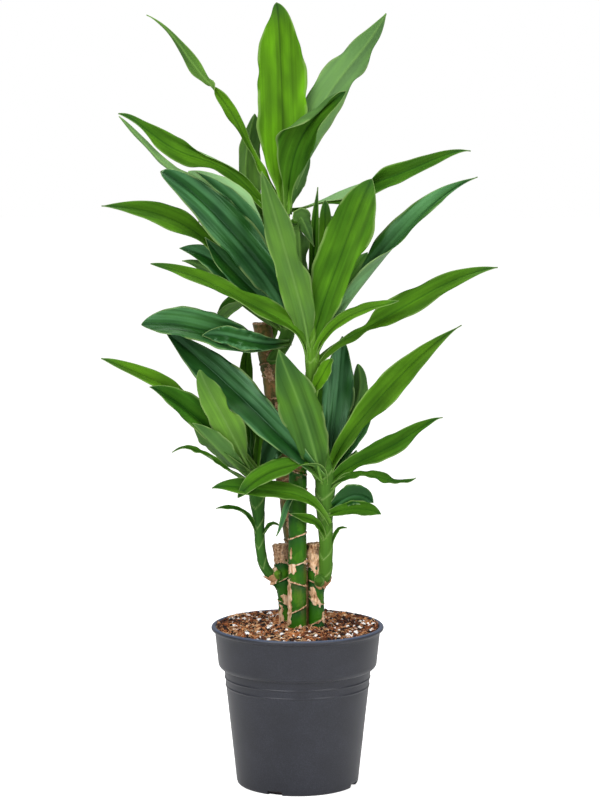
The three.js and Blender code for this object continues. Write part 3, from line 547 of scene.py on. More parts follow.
def pot_profile():
    """The pot's section as [radius, height] rows, from the underside up the outside, over the lip and down
    the inside to the floor. With it: the row where the drain holes start outside, the row where they end
    inside, and how many rows they take."""
    underside = [(15, 0), (35, 0), (52, 0)]
    foot = [(WALL_FOOT_RADIUS - DRAIN_REACH, 0), (64.2, 0), (65.9, 0.5), (66.8, 1.5), (67.25, 3),
            (67.5, DRAIN_HEIGHT)]
    closer = np.linspace(-LINE_REACH, LINE_REACH, 13)
    heights = [np.linspace(8, STEP_FOOT - 1, 30)] + [line + closer for line in RAISED_LINES]
    heights = np.unique(np.concatenate(heights))
    relief = sum(LINE_RELIEF * bell(heights - line, LINE_HALF) for line in RAISED_LINES)
    wall = np.stack([wall_radius(heights) + relief, heights], axis=-1)
    turn = np.linspace(0, math.pi / 2, 9)
    step = np.stack([
        mix(WALL_TOP_RADIUS, COLLAR_FOOT_RADIUS, np.sin(turn)),
        mix(STEP_FOOT, COLLAR_FOOT, 1 - np.cos(turn)),
    ], axis=-1)
    level = np.linspace(COLLAR_FOOT + 3, POT_HEIGHT - 6.5, 12)
    share = (level - COLLAR_FOOT) / (POT_HEIGHT - 7 - COLLAR_FOOT)
    collar = np.stack([mix(COLLAR_FOOT_RADIUS, COLLAR_TOP_RADIUS, share), level], axis=-1)
    roll = np.radians(np.linspace(-100, 90, 13))
    centre = (LIP_RADIUS - BEAD, POT_HEIGHT - BEAD - 0.1)
    bead = centre + BEAD * np.stack([np.cos(roll), np.sin(roll)], axis=-1)
    inner = [(91.2, POT_HEIGHT), (90.4, POT_HEIGHT - 0.5), (90, POT_HEIGHT - 1.6), (89.6, POT_HEIGHT - 5),
             (COLLAR_FOOT_RADIUS - POT_WALL, COLLAR_FOOT), (WALL_TOP_RADIUS - POT_WALL, STEP_FOOT - 1),
             (72, 60), (66.8, 14)]
    inner_foot = [(65.8, DRAIN_HEIGHT), (65.6, 3.5), (65, POT_FLOOR), (63.8, POT_FLOOR), (62.5, POT_FLOOR),
                  (WALL_FOOT_RADIUS - DRAIN_REACH, POT_FLOOR)]
    inner_floor = [(40, POT_FLOOR), (15, POT_FLOOR)]
    profile = np.concatenate([underside, foot, wall, step, collar, bead, inner, inner_foot, inner_floor])
    inner_end = len(profile) - len(inner_floor) - 1
    return profile, len(underside), inner_end, len(foot) - 1


def pot_part():
    """The profile turned about the axis. Each drain hole leaves out the same block of cells on both skins,
    and a short wall joins the two edges."""
    profile, outer_start, inner_end, depth = pot_profile()
    start = math.radians(DRAIN_TURN) - math.pi * DRAIN_SECTORS / POT_SECTORS
    angle = start + np.linspace(0, 2 * math.pi, POT_SECTORS, endpoint=False)
    radius, height = profile[:, :1], profile[:, 1:]
    part = tube_part(around(radius, angle, height))
    cells = np.ones((len(profile) - 1, POT_SECTORS), bool)
    walls = []
    for first in range(0, POT_SECTORS, POT_SECTORS // DRAIN_HOLES):
        columns = slice(first, first + DRAIN_SECTORS)
        cells[outer_start:outer_start + depth, columns] = False
        cells[inner_end - depth:inner_end, columns] = False
        along = np.arange(first, first + DRAIN_SECTORS)
        down = np.arange(depth)
        level = np.concatenate([0 * along, down, 0 * along + depth, depth - down])
        column = np.concatenate([along, 0 * down + columns.stop, (along + 1)[::-1], 0 * down + first])
        outer = (outer_start + level) * POT_SECTORS + column
        inner = (inner_end - level) * POT_SECTORS + column
        walls.append(np.stack([outer, np.roll(outer, -1), np.roll(inner, -1), inner], axis=-1))
    ends = np.ones(len(part["faces"]) - cells.size, bool)
    kept = np.concatenate([cells.ravel(), ends])
    flipped = (part["faces"][0] != grid_faces(len(profile), POT_SECTORS, closed=True)[0]).any()
    joins = np.concatenate(walls)
    part["faces"] = np.concatenate([part["faces"][kept], joins[:, ::-1] if flipped else joins])
    return part


# ---- potting mix ----------------------------------------------------------------------------------------

def soil_height(x, y):
    """Height of the mix: heaped a little round the canes, plus noise for clods 14 mm across and for crumbs
    of 4 mm."""
    reach = np.hypot(x, y) / (COLLAR_TOP_RADIUS - POT_WALL)
    heap = SOIL_EDGE - SOIL_SINK + SOIL_HEAP * (1 - smooth(reach, 0.25, 1))
    place = np.stack([x, y, 0 * x], axis=-1)
    return heap + 1.3 * noise(place, 14, 2) + 0.6 * noise(place + 50, 4, 2)


def soil_part():
    """One closed body: rings over the top at the height above, then down inside the pot and across its
    floor."""
    top = COLLAR_TOP_RADIUS - POT_WALL - SOIL_GAP
    radius = np.linspace(1.5, top, SOIL_RINGS)[:, None]
    angle = np.linspace(0, 2 * math.pi, SOIL_SECTORS, endpoint=False)
    surface = around(radius, angle, soil_height(radius * np.cos(angle), radius * np.sin(angle)))
    below = np.array([(COLLAR_FOOT_RADIUS - 2.5, COLLAR_FOOT), (WALL_TOP_RADIUS - 2.5, STEP_FOOT - 1),
                      (65, POT_FLOOR + 0.4), (30, POT_FLOOR + 0.4)])
    rings = np.concatenate([surface, around(below[:, :1], angle, below[:, 1:])])
    return tube_part(rings, shade=0.35 + 0.2 * noise(rings, 9, 3))


def turned_frames(random, count):
    """Random rotations: two random unit vectors made square to each other, and their cross product."""
    first = unit(random.normal(size=(count, 3)))
    second = random.normal(size=(count, 3))
    second = unit(second - first * np.einsum("ij,ij->i", first, second)[:, None])
    return np.stack([first, second, np.cross(first, second)], axis=1)


def scattered(random, count, spread=0.965):
    """Even random places on the mix, as x, y and its height there."""
    reach = (COLLAR_TOP_RADIUS - POT_WALL) * spread * np.sqrt(random.random(count))
    angle = 2 * math.pi * random.random(count)
    x, y = reach * np.cos(angle), reach * np.sin(angle)
    return np.stack([x, y, soil_height(x, y)], axis=-1)


def strewn(points, faces, places, shade, random):
    """Many copies of one closed mesh, each at its own place with its own points, as one part. Each copy has
    its own shade, and a broad noise makes them paler or darker from patch to patch."""
    count, number = points.shape[:2]
    faces = faces[None] + number * np.arange(count)[:, None, None]
    damp = PEAT_PATCHES * noise(places * (1, 1, 0) + 70, 30, 2)
    shades = np.repeat(mix(*shade, random.random(count)) + damp, number)
    return dict(points=points.reshape(-1, 3), faces=faces.reshape(-1, 4), layers=dict(shade=shades))


def grains_part(seed, count, small, large, flat, jagged, shade):
    """Lumps of the mix. Each is a ball of four rings of six points, stretched by its own three sizes, its
    points pushed in and out at random, turned any way and set partly into the surface."""
    random = np.random.default_rng(seed)
    latitude = np.radians([-60, -20, 20, 60])[:, None]
    longitude = np.linspace(0, 2 * math.pi, 6, endpoint=False)
    ball = tube_part(around(np.cos(latitude), longitude, np.sin(latitude)))
    size = small * (large / small) ** (random.random((count, 1)) ** 1.6)
    axes = size * np.stack([np.ones(count), mix(0.6, 1, random.random(count)),
                            flat * mix(0.7, 1.2, random.random(count))], axis=-1)
    rough = 1 + jagged * (random.random((count, len(ball["points"]), 1)) - 0.5)
    points = ball["points"] * axes[:, None, :] * rough
    points = np.einsum("nki,nij->nkj", points, turned_frames(random, count))
    places = scattered(random, count)
    places[:, 2] += 0.35 * size[:, 0]
    points += places[:, None, :]
    return strewn(points, ball["faces"], places, shade, random)


def fibres_part(seed, count):
    """Loose fibres, each a three-sided tube of seven rings along an arc: its heading turns evenly along it
    and it rises and falls again over the surface."""
    random = np.random.default_rng(seed)
    rings, sides = 7, 3
    share = np.linspace(0, 1, rings)
    length = mix(5, 20, random.random(count) ** 2)[:, None]
    heading = 2 * math.pi * random.random(count)[:, None]
    bend = random.normal(0, 1.3, count)[:, None]
    turned = heading + bend * share
    x = np.cumsum(np.cos(turned), axis=1) * length / rings
    y = np.cumsum(np.sin(turned), axis=1) * length / rings
    start = scattered(random, count, 0.96)
    x += start[:, :1]
    y += start[:, 1:2]
    inside = np.minimum(1, FIBRE_REACH / np.hypot(x, y))
    x, y = x * inside, y * inside
    lift = mix(0.4, 3.2, random.random(count) ** 3)[:, None]
    tilt = random.normal(0, 0.1, count)[:, None] * length
    z = soil_height(x, y) + lift * np.sin(math.pi * share) + np.maximum(tilt * share, 0) + 0.5
    spine = np.stack([x, y, z], axis=-1)
    along = unit(np.gradient(spine, axis=1))
    out = unit(np.cross(along, [0.0, 0, 1]))
    over = np.cross(out, along)
    thick = mix(0.2, 0.55, random.random(count) ** 2)[:, None, None, None]
    taper = (0.35 + 0.65 * np.sin(math.pi * mix(0.1, 0.9, share)))[None, :, None, None]
    angle = np.linspace(0, 2 * math.pi, sides, endpoint=False)[None, None, :, None]
    ring = out[:, :, None] * np.cos(angle) + over[:, :, None] * np.sin(angle)
    points = spine[:, :, None] + ring * thick * taper
    faces = tube_part(points[0])["faces"]
    ends = points[:, [0, -1]].mean(axis=2)
    points = np.concatenate([points.reshape(count, -1, 3), ends], axis=1)
    return strewn(points, faces, start, (0, 1.1), random)


# ---- canes ----------------------------------------------------------------------------------------------

def cane_part(foot, top, bow, radius, scars, marks, seed, old=None, light=0.1, knuckle=None, rumple=0.0):
    """A cane: rings of R(h, a) about a line that leans from foot to top and bows out by 4s(1 - s). R has a
    ridge between two grooves at each leaf scar, a slow swelling, fine bark, creases as deep as rumple below
    the cut top, and a bell where a shoot breaks out. Each ring is tipped by the slope of the scars near it:
    z = h + slope * x. The layers are the bark's finish: cork lies on the scars, on the cut top and in
    ellipses, which are the marks on the front, seen from -Y, and random spots behind. node deepens the
    green under each scar."""
    random = np.random.default_rng(seed)
    rows = np.arange(foot[2], top[2] - CUT_ROUNDING, CANE_STEP)
    h = np.concatenate([rows, top[2] - np.array([1.4, 0.9, 0.4, 0.0])])[:, None]
    angle = np.linspace(-math.pi, math.pi, CANE_SECTORS, endpoint=False)
    stops = np.array([(foot[2], 0), *scars, (top[2], 0.05)], float)
    slope = np.interp(h, stops[:, 0], stops[:, 1])
    share = (h - foot[2]) / (top[2] - foot[2])
    x, y = radius * np.sin(angle) + foot[0], -radius * np.cos(angle) + foot[1]
    place = np.stack(np.broadcast_arrays(x, y, h), axis=-1)
    wobble = 0.9 * noise(place + 3 * seed, 9, 2)
    fine = noise(place, 2.6, 3)
    broad = noise(place * (1, 1, 0.5) + 20, 16, 2)
    layers = dict(cork=0 * wobble - 0.4, old=0 * wobble, light=0 * wobble, node=0 * wobble)
    ridge = 0 * wobble
    for height, _ in scars:
        off = h - height - wobble
        ridge += 0.5 * bell(off, 1.1) - 0.45 * bell(off - 2.2, 1.4) - 0.3 * bell(off + 2.4, 1.6)
        wide = SCAR_WIDTH * (0.5 + 0.35 * fine + 1.6 * np.maximum(broad - 0.15, 0))
        layers["cork"] = np.maximum(layers["cork"], 0.95 - 0.5 * np.abs(off) / np.maximum(wide, 0.25))
        layers["node"] = np.maximum(layers["node"], np.where(off < 0, 1 - smooth(-off, 1, 13), 0))
    across, facing = radius * np.sin(angle), np.cos(angle)
    spots = [("cork", random.uniform(-9, 9), random.uniform(SPOTS_FROM, top[2]), random.uniform(1.5, 3.5),
              random.uniform(3, 12), -1) for _ in range(int((top[2] - SPOTS_FROM) / SPOT_STEP))]
    for kind, middle, height, half_across, half_up, side in [(*m, 1) for m in marks] + spots:
        away = np.hypot((across - middle) / half_across, (h - height) / half_up)
        inside = np.where(facing * side > 0, 1 - away + 0.4 * fine + 0.35 * broad, -1)
        layers[kind] = np.maximum(layers[kind], smooth(inside, -0.15, 0.3) * 1.1)
    layers["cork"] = np.maximum(layers["cork"], smooth(h, top[2] - 3, top[2]) * 1.1 + 0 * wobble)
    if old:
        layers["old"] = np.maximum(layers["old"], smooth(h, *old) + 0.5 * broad)
    layers["old"] = np.clip(layers["old"], 0, 1)
    layers["light"] = light + 0.16 * layers["light"] + 0.12 * broad
    layers["node"] = layers["node"] * (0.75 + 0.4 * broad)
    bark = 0.1 * fine + 0.3 * broad + 0.3 * np.clip(layers["cork"], 0, 1) * (1 + fine)
    creased = np.abs(noise(place * (1, 1, 0.45) + 40, 5, 2)) - 0.25
    bark += rumple * creased * smooth(h, top[2] - CREASES_FROM, top[2] - CREASES_FULL)
    swell = radius + ridge + bark
    if knuckle:
        turn, height, reach = knuckle
        away = np.angle(np.exp(1j * (angle - math.radians(turn))))
        swell = swell + reach * bell(away, KNUCKLE_TURN) * bell(h - height, KNUCKLE_RISE)
    swell = swell - 1.2 * smooth(h, top[2] - CUT_ROUNDING, top[2]) ** 2
    x, y = swell * np.sin(angle), -swell * np.cos(angle)
    bulge = 4 * share * (1 - share)
    rings = np.stack([
        x + mix(foot[0], top[0], share) + bow[0] * bulge,
        y + mix(foot[1], top[1], share) + bow[1] * bulge,
        h + slope * x + 0.5 * fine * smooth(h, top[2] - 2, top[2]),
    ], axis=-1)
    return tube_part(rings, **{name: value + 0 * wobble for name, value in layers.items()})


# ---- leaves and shoots ----------------------------------------------------------------------------------

def half_width(t, wide, widest, point):
    """Half the blade's width: from the clasp up to the widest place by the S-curve, then half * (1 - p^2)
    to the power of point, where p is how far t lies from there to the tip."""
    clasp = min(max(CLASP_HALF, wide / 5), wide / 3)
    past = np.clip((t - widest) / (1 - widest), 0, 1)
    rising = mix(clasp, wide / 2, smooth(t, 0, widest))
    return np.where(t < widest, rising, np.maximum(wide / 2 * (1 - past**2) ** point, TIP_HALF))


def nipped(t, side, nips):
    """What is left of that where a margin is drawn in, or let out where the depth is negative: the product
    of 1 - depth * bell over the nips on this side."""
    left = np.ones(np.broadcast(t, side).shape)
    for place, depth, on in nips:
        left = left * np.where(on == -side, 1, 1 - depth * bell(t - place, NIP_REACH))
    return left


def blade_part(at, wide, face, tone, grain, fold=20, roll=((0, 0),), wave=2, waves=1.7, nips=(), curl=(),
               widest=0.56, point=0.9, silver=0.1):
    """A strap leaf along the curve through its points. Across it, the blade leaves the rib at 1.3 times the
    fold and flattens to 0.7 times it at the margin, with what curl adds there, and each point is the sum of
    the short steps before it: out by the cosine of that slope and up by its sine. Each margin wavers in and
    out by three sines. The blade ripples along its normal by two sines that grow towards the margins, and
    by a fine one across it. Two skins lie half the thickness to each side, with a groove along the upper
    one and a ridge along the lower one, and are joined at the margins."""
    t = np.linspace(0, 1, BLADE_ROWS)[:, None]
    rib = curve_through(at, t)
    steps = np.gradient(rib, axis=0, edge_order=2)
    along = unit(steps)
    up = unit(np.array(face, float) - along * (along @ np.array(face, float))[:, None])
    angle = np.radians(stepped(t, roll))
    up = up * np.cos(angle) + np.cross(along, up) * np.sin(angle)
    across = np.cross(along, up)[:, None]
    up = up[:, None]

    w = np.linspace(0, 1, BLADE_COLUMNS // 2 + 1) ** 1.3
    between = (w[1:] + w[:-1]) / 2
    calm = np.sin(math.pi * t)
    turn = 2 * math.pi
    phase = at[-1][0] / 10
    halves, reaches = [], []
    for side in (-1, 1):
        half = half_width(t, wide, widest, point) * nipped(t, side, nips)
        wavering = sum(share * np.sin(turn * beats * t + count * phase - (-1) ** count * side)
                       for count, (beats, share) in enumerate(WAVERS, 1))
        half = half * (1 + WAVER * calm * wavering)
        slope = mix(CLASP_ANGLE, fold, smooth(t, 0, 0.3)) * (1.3 - 0.6 * between)
        for on, start, end, degrees, *reach in curl:
            if on == side:
                strength = stepped(t, [(start, 0), ((start + end) / 2, 1), (end, 0)])
                slope = slope + degrees * strength * smooth(between, *(reach or CURL_REACH))
        slope = np.radians(slope)
        short = np.diff(w)
        out = np.concatenate([0 * t, np.cumsum(np.cos(slope) * short, axis=1)], axis=1) * half
        rise = np.concatenate([0 * t, np.cumsum(np.sin(slope) * short, axis=1)], axis=1) * half
        lean = np.concatenate([slope[:, :1], slope], axis=1)
        ripple = wave * calm * np.sin(turn * waves * t + side + phase) * w**1.7
        ripple += 0.4 * wave * calm * np.sin(turn * 2.7 * waves * t + 2 * side + grain) * w**2.2
        ripple += 0.3 * np.sin(turn * w * half / RIPPLE_WIDTH + grain) * calm * w
        normal = up * np.cos(lean)[..., None] - across * (side * np.sin(lean))[..., None]
        halves.append(rib[:, None] + across * (side * out)[..., None] + up * rise[..., None]
                      + normal * ripple[..., None])
        reaches.append(side * w * half)
    middle = np.concatenate([halves[0][:, ::-1], halves[1][:, 1:]], axis=1)
    reach = np.concatenate([reaches[0][:, ::-1], reaches[1][:, 1:]], axis=1)
    v = np.linspace(-1, 1, BLADE_COLUMNS)
    skin = unit(np.cross(np.gradient(middle, v, axis=1), np.gradient(middle, axis=0)))
    near = np.abs(reach)
    thick = mix(BLADE_FLESH, BLADE_EDGE, np.abs(v)) / 2 + 0 * near
    upper = middle + skin * (thick - 0.25 * bell(near, 1.1))[..., None]
    lower = middle - skin * (thick + (0.35 + 1.1 * (1 - t) ** 1.5) * bell(near, 1.3))[..., None]

    def both(above, below):
        """A value on the upper skin and one on the lower, in the order of the ring's points."""
        return np.concatenate([above + 0 * near, (below + 0 * near)[:, ::-1]], axis=1)

    length = np.cumsum(np.linalg.norm(steps, axis=1))[:, None]
    ribbed = bell(near, 1.2) * (1 - 0.4 * t)
    edges = np.maximum(near[:, :1], near[:, -1:])
    margin = smooth(near, edges - 0.9, edges)
    return tube_part(
        np.concatenate([upper, lower[:, ::-1]], axis=1),
        along=both(length, length), across=both(reach, reach),
        # The upper skin's tone is also lowered along the rib: more painted shade in its groove.
        tone=both(tone - 0.12 * bell(near, 1.0), tone), under=both(0, 1), rib=both(0, ribbed),
        rim=both(margin, margin), pale=both(1 - smooth(t, 0, 0.14), 1 - smooth(t, 0, 0.2)),
        tip=both(1.5 * smooth(t, 0.84, 1), 1.2 * smooth(t, 0.6, 1)), grain=both(grain, grain),
        silver=both(0, silver),
    )


def shoot_part(stalk, radius, spear, tone, grain, spread=0.3):
    """The stalk and the furled young blades on its end, as one tube. The radius waves slightly where one
    sheath laps over the next: its two edges meet low at the front and rise evenly round both sides. It
    swells by the share spread where the lowest blades leave it. The spear closes to a point."""
    path = path_through(stalk, 90)
    way = unit(np.array(stalk[-1], float) - np.array(stalk[-2], float))
    tip = path[-1] + way * np.linspace(0, spear, 31)[1:, None]
    path = np.concatenate([path, tip])
    length = lengths_along(path)[:, None]
    angle = np.linspace(-math.pi, math.pi, SHOOT_SECTORS, endpoint=False)
    body = length[-1] - spear
    past = np.clip((length - body) / spear, 0, 1)
    taper = np.interp(past, [0, 0.5, 1], [1.1, 0.66, 0.06])
    lap = (length - LAP_RISE * np.abs(angle - LAP_TURN) / math.pi + grain) / LAP_STEP
    sawtooth = lap - np.floor(lap)
    edge = bell(np.minimum(sawtooth, 1 - sawtooth), 0.04) * (1 - past)
    size = radius * np.where(past > 0, taper, mix(1, 1.1, smooth(length, body - 30, body)))
    size = size * (1 + spread * bell(length - body + SPREAD_BELOW, SPREAD_REACH))
    size = size * (0.96 + 0.07 * smooth(sawtooth, 0, 0.9) * (1 - past)) + 0.15 * edge
    size = size * (1 + 0.1 * past * np.cos(angle + 6 * past))
    along = unit(np.gradient(path, axis=0))[:, None]
    rings = path[:, None] + ways_out(along, angle) * size[..., None]
    flat = np.zeros_like(size)
    return tube_part(
        rings, along=flat + length, across=flat + radius * np.abs(angle), tone=flat + tone,
        under=flat + 0.3 + 0.4 * tone, rib=flat, rim=edge + flat, tip=flat + 0.5 * past,
        pale=0.5 * tone * (1 - past + 0.5 * sawtooth), grain=flat + grain, silver=flat,
    )


def husk_part(stalk, radius, start, reach, flare, seed):
    """Dried sheath round the foot of a shoot: rings along the stalk from start, up the outside and, by
    HUSK_THICK further in, down the inside. Its upper edge is ragged, because each line of it is reach times
    its own share long, and it stands off by flare there."""
    path = path_through(stalk, 90)
    length = lengths_along(path)
    angle = np.linspace(-math.pi, math.pi, HUSK_SECTORS, endpoint=False)
    circle = np.stack([np.sin(angle), np.cos(angle), 0 * angle + seed], axis=-1)
    ragged = 0.7 + 0.3 * noise(circle * 10, 4, 3)
    up = np.linspace(0, 1, 14)[:, None]
    level = start + reach * ragged * up
    spine = np.stack([np.interp(level, length, path[:, i]) for i in range(3)], axis=-1)
    normal = ways_out(unit(np.gradient(spine[:, 0], axis=0))[:, None], angle)
    off = radius * 1.02 + 0.3 + flare * up**2 * ragged + 0.35 * noise(spine + normal * radius, 3, 2)
    outer = spine + normal * off[..., None]
    inner = spine + normal * (off - HUSK_THICK)[..., None]
    rings = np.concatenate([outer, inner[::-1]])
    points = rings.reshape(-1, 3)
    faces = outward(points, grid_faces(*rings.shape[:2], closed=True, looped=True))
    return dict(points=points, faces=faces, layers=dict(shade=0.5 + 0.35 * noise(points, 5, 3)))


def strip_part(line, wide, seed):
    """A strip of papery bark along a line: rings of a flat oval whose width wanders with a noise along the
    line."""
    path = path_through(line, 60)
    angle = np.linspace(0, 2 * math.pi, 16, endpoint=False)
    half = wide * (0.5 + 0.18 * noise(path * (0, 0, 1) + seed, 6, 3))[:, None]
    oval = np.broadcast_arrays(half * np.cos(angle), STRIP_THICK / 2 * np.sin(angle), 0.0)
    rings = path[:, None] + np.stack(oval, axis=-1)
    return tube_part(rings, shade=0.4 + 0.35 * noise(rings, 5, 3))


# ---- the plant ------------------------------------------------------------------------------------------

CANE_FOOT = 112

# Marks are on the front of a cane: kind, millimetres right of its middle, height, and half its width and
# height. old gives the heights between which green bark goes over to brown. A knuckle is where a shoot
# breaks out: degrees from the front towards +X, height, and how far it stands out.
CANES = dict(
    cane_tall=dict(
        foot=(8, 33, CANE_FOOT), top=(-39.5, 36, 507), bow=(6, 0), radius=10.5, seed=11,
        scars=[(196, 0.3), (218, -0.2), (243, 0.35), (262, -0.3), (289, 0.3), (311, -0.2), (334, 0.25),
               (352, -0.3), (377, 0.3), (398, -0.25), (424, 0.2), (445, -0.3), (463, 0.25), (487, -0.2)],
        marks=[("cork", -3, 452, 5, 9), ("cork", 4, 470, 4, 6), ("cork", -2, 290, 4, 14),
               ("cork", -6, 322, 4, 6), ("cork", 2, 410, 3, 8), ("light", 5, 455, 4, 12),
               ("light", 3, 385, 5, 10)],
        old=(170, 290), light=0.15,
    ),
    cane_middle=dict(
        foot=(-1, -24, CANE_FOOT), top=(1, -22, 432), bow=(0, 0), radius=10, seed=12,
        scars=[(198, 0.4), (227, -0.35), (249, 0.2), (279, 0.38), (301, -0.3), (327, 0.3), (349, -0.3),
               (372, 0.3), (393, -0.3), (414, 0.3)],
        marks=[("cork", -8, 202, 2.6, 24), ("cork", -6, 243, 4, 7), ("cork", 3, 177, 1.6, 8),
               ("cork", 7, 322, 3, 5), ("cork", -2, 388, 6, 8), ("cork", -7, 262, 1.3, 7),
               ("old", 0, 365, 9, 20), ("light", 2, 255, 6, 9), ("light", 1, 212, 6, 10),
               ("light", 2, 292, 6, 9)],
        old=(395, 432), light=0.12,
    ),
    cane_short_left=dict(
        foot=(-9, 2, CANE_FOOT), top=(-18.5, 4, 265), bow=(1.5, 0), radius=8.8, seed=13,
        scars=[(200, -0.4), (227, 0.5), (246, -0.2)],
        marks=[("cork", -1, 256, 12, 11), ("old", -1, 258, 14, 12), ("cork", 0, 206, 6, 6),
               ("cork", -6, 180, 3.5, 18), ("light", 1, 236, 5, 6), ("light", 2, 190, 4, 7),
               ("cork", -8, 232, 4, 7)],
        knuckle=(-90, 229, 6), rumple=1.0,
    ),
    cane_short_right=dict(
        foot=(22, -20, CANE_FOOT), top=(18.5, -13, 269), bow=(0.5, -1), radius=8.8, seed=14,
        scars=[(183, 0.45), (206, -0.4), (226, -0.5), (246, 0.2)],
        marks=[("cork", 0, 257, 12, 14), ("old", 3, 262, 5, 4), ("cork", -3, 211, 5, 9),
               ("cork", -1, 207, 7, 6), ("cork", 4, 236, 5, 6), ("light", -4, 234, 3.5, 6),
               ("light", 7, 211, 2.5, 9), ("cork", 7.5, 186, 1.8, 9)],
        light=0.08, knuckle=(54, 229, 3.6), rumple=3.0,
    ),
)

# Blades. at: points of the midrib. wide: the greatest width, and widest: its place. point: how sharp the
# tip is. face: the way that the upper side looks. roll: places, and the face's turn about the rib there.
# fold: the degrees that each half rises. curl: bends of a margin, each its side, start, end, degrees, and
# the shares of the half width that bend. wave and waves: the ripples' height and number. nips: where a
# margin is drawn in or let out, each its place, share and side. tone: how bright a green. silver: the bloom
# beneath. Places go from 0 at the foot to 1 at the tip. Side -1 or 1 is one margin, and 0 is both.
TOP_BLADES = [
    dict(at=[(-14, 30, 626), (-15, 36, 696), (-17, 40, 756), (-19, 40, 810), (-23, 36, 856)], wide=57,
         face=(0, -1, 0.1), fold=14, widest=0.46, point=0.64,
         nips=[(0.94, 0.35, -1), (0.8, 0.05, 1), (0.3, -0.1, 0), (0.16, -0.3, 0)],
         tone=0.77),
    dict(at=[(-12, 32, 626), (3, 38, 696), (33, 44, 756), (64, 47, 797), (97, 48, 845)], wide=46,
         face=(0.2, 1, 0.3), wave=3, waves=2.2,
         nips=[(0.5, 0.1, 1), (0.62, 0.32, -1), (0.72, 0.2, 1), (0.84, 0.3, -1)], tone=0.52, silver=0.3),
    dict(at=[(-10, 28, 630), (-6, 20, 679), (6, 8, 712), (25, -6, 737), (52, -18, 758)], wide=44,
         face=(-0.1, -1, 0.3), fold=18, curl=[(-1, 0.3, 1.2, 165, 0.3, 0.7), (1, 0.2, 1.2, 40)], wave=1,
         nips=[(0.12, 0.2, 0), (0.42, -0.3, -1), (0.54, -0.35, -1), (0.76, 0.3, -1)], widest=0.5, point=0.7,
         tone=0.44),
    dict(at=[(-13, 33, 628), (-5, 38, 652), (4, 43, 672), (13, 46, 694)], wide=20, face=(0, 1, 0.2),
         tone=0.35),
    dict(at=[(-19, 28, 622), (-36, 26, 665), (-54, 21, 702), (-74, 14, 740), (-97, 8, 769),
             (-121, 3, 800), (-162, -2, 840)], wide=16, face=(0, -1, 0.4), fold=16,
         roll=[(0.2, 55), (0.36, 0), (0.6, 10), (0.68, 150)],
         nips=[(0.32, 0.4, 0), (0.44, 0.3, -1), (0.645, 0.6, 0), (0.92, 0.3, 0)], wave=4, waves=3,
         widest=0.76, point=1.2, tone=0.72),
    dict(at=[(-19, 28, 620), (-50, 25, 650), (-84, 18, 678), (-119, 9, 691), (-153, 1, 710),
             (-193, -3, 735)], wide=28, face=(0, -1, 0.6), fold=10,
         curl=[(1, 0.1, 0.78, 150, 0.3, 0.8), (-1, 0.66, 1.2, 60)], widest=0.68, point=0.8,
         nips=[(0.22, 0.1, 0), (0.44, 0.35, 0), (0.9, 0.3, 0)], tone=0.55, silver=0.7),
    dict(at=[(-17, 30, 622), (-67, 22, 651), (-114, 10, 665), (-142, 2, 679), (-168, -2, 706),
             (-192, -6, 732)], wide=11, face=(0, 1, 0.5), fold=30, tone=0.75, silver=0.5),
    dict(at=[(-20, 36, 582), (-51, 46, 636), (-57, 50, 686), (-47, 52, 736)], wide=34, face=(0.5, 1, 0.1),
         fold=35, widest=0.6, point=0.65, tone=0.6),
    dict(at=[(-12, 32, 629), (33, 36, 643), (68, 34, 656), (103, 28, 667), (144, 18, 684),
             (188, 12, 695)], wide=27, face=(0, -1, 0.5), fold=12, widest=0.5, point=1.2, wave=1.5,
         curl=[(-1, -0.1, 0.75, 160, 0, 0.4)], nips=[(0.12, 0.4, 0), (0.28, -0.4, 0), (0.4, -0.3, 0)],
         tone=0.42, silver=0.6),
    dict(at=[(-16, 33, 612), (-9, 76, 668), (-5, 104, 706), (-3, 132, 722)], wide=36, face=(0, -0.6, 1),
         tone=0.6),
    dict(at=[(-20, 38, 590), (-46, 76, 622), (-80, 110, 630), (-114, 140, 614)], wide=34, face=(0, 0, 1),
         wave=3, tone=0.6),
    dict(at=[(-22, 41, 532), (-46, 76, 532), (-76, 104, 512), (-108, 124, 484)], wide=32, face=(0, 0, 1),
         wave=3, tone=0.5),
    dict(at=[(-18, 34, 597), (10, 78, 612), (38, 112, 614), (66, 142, 594)], wide=32, face=(0, 0, 1),
         wave=3, tone=0.5),
]
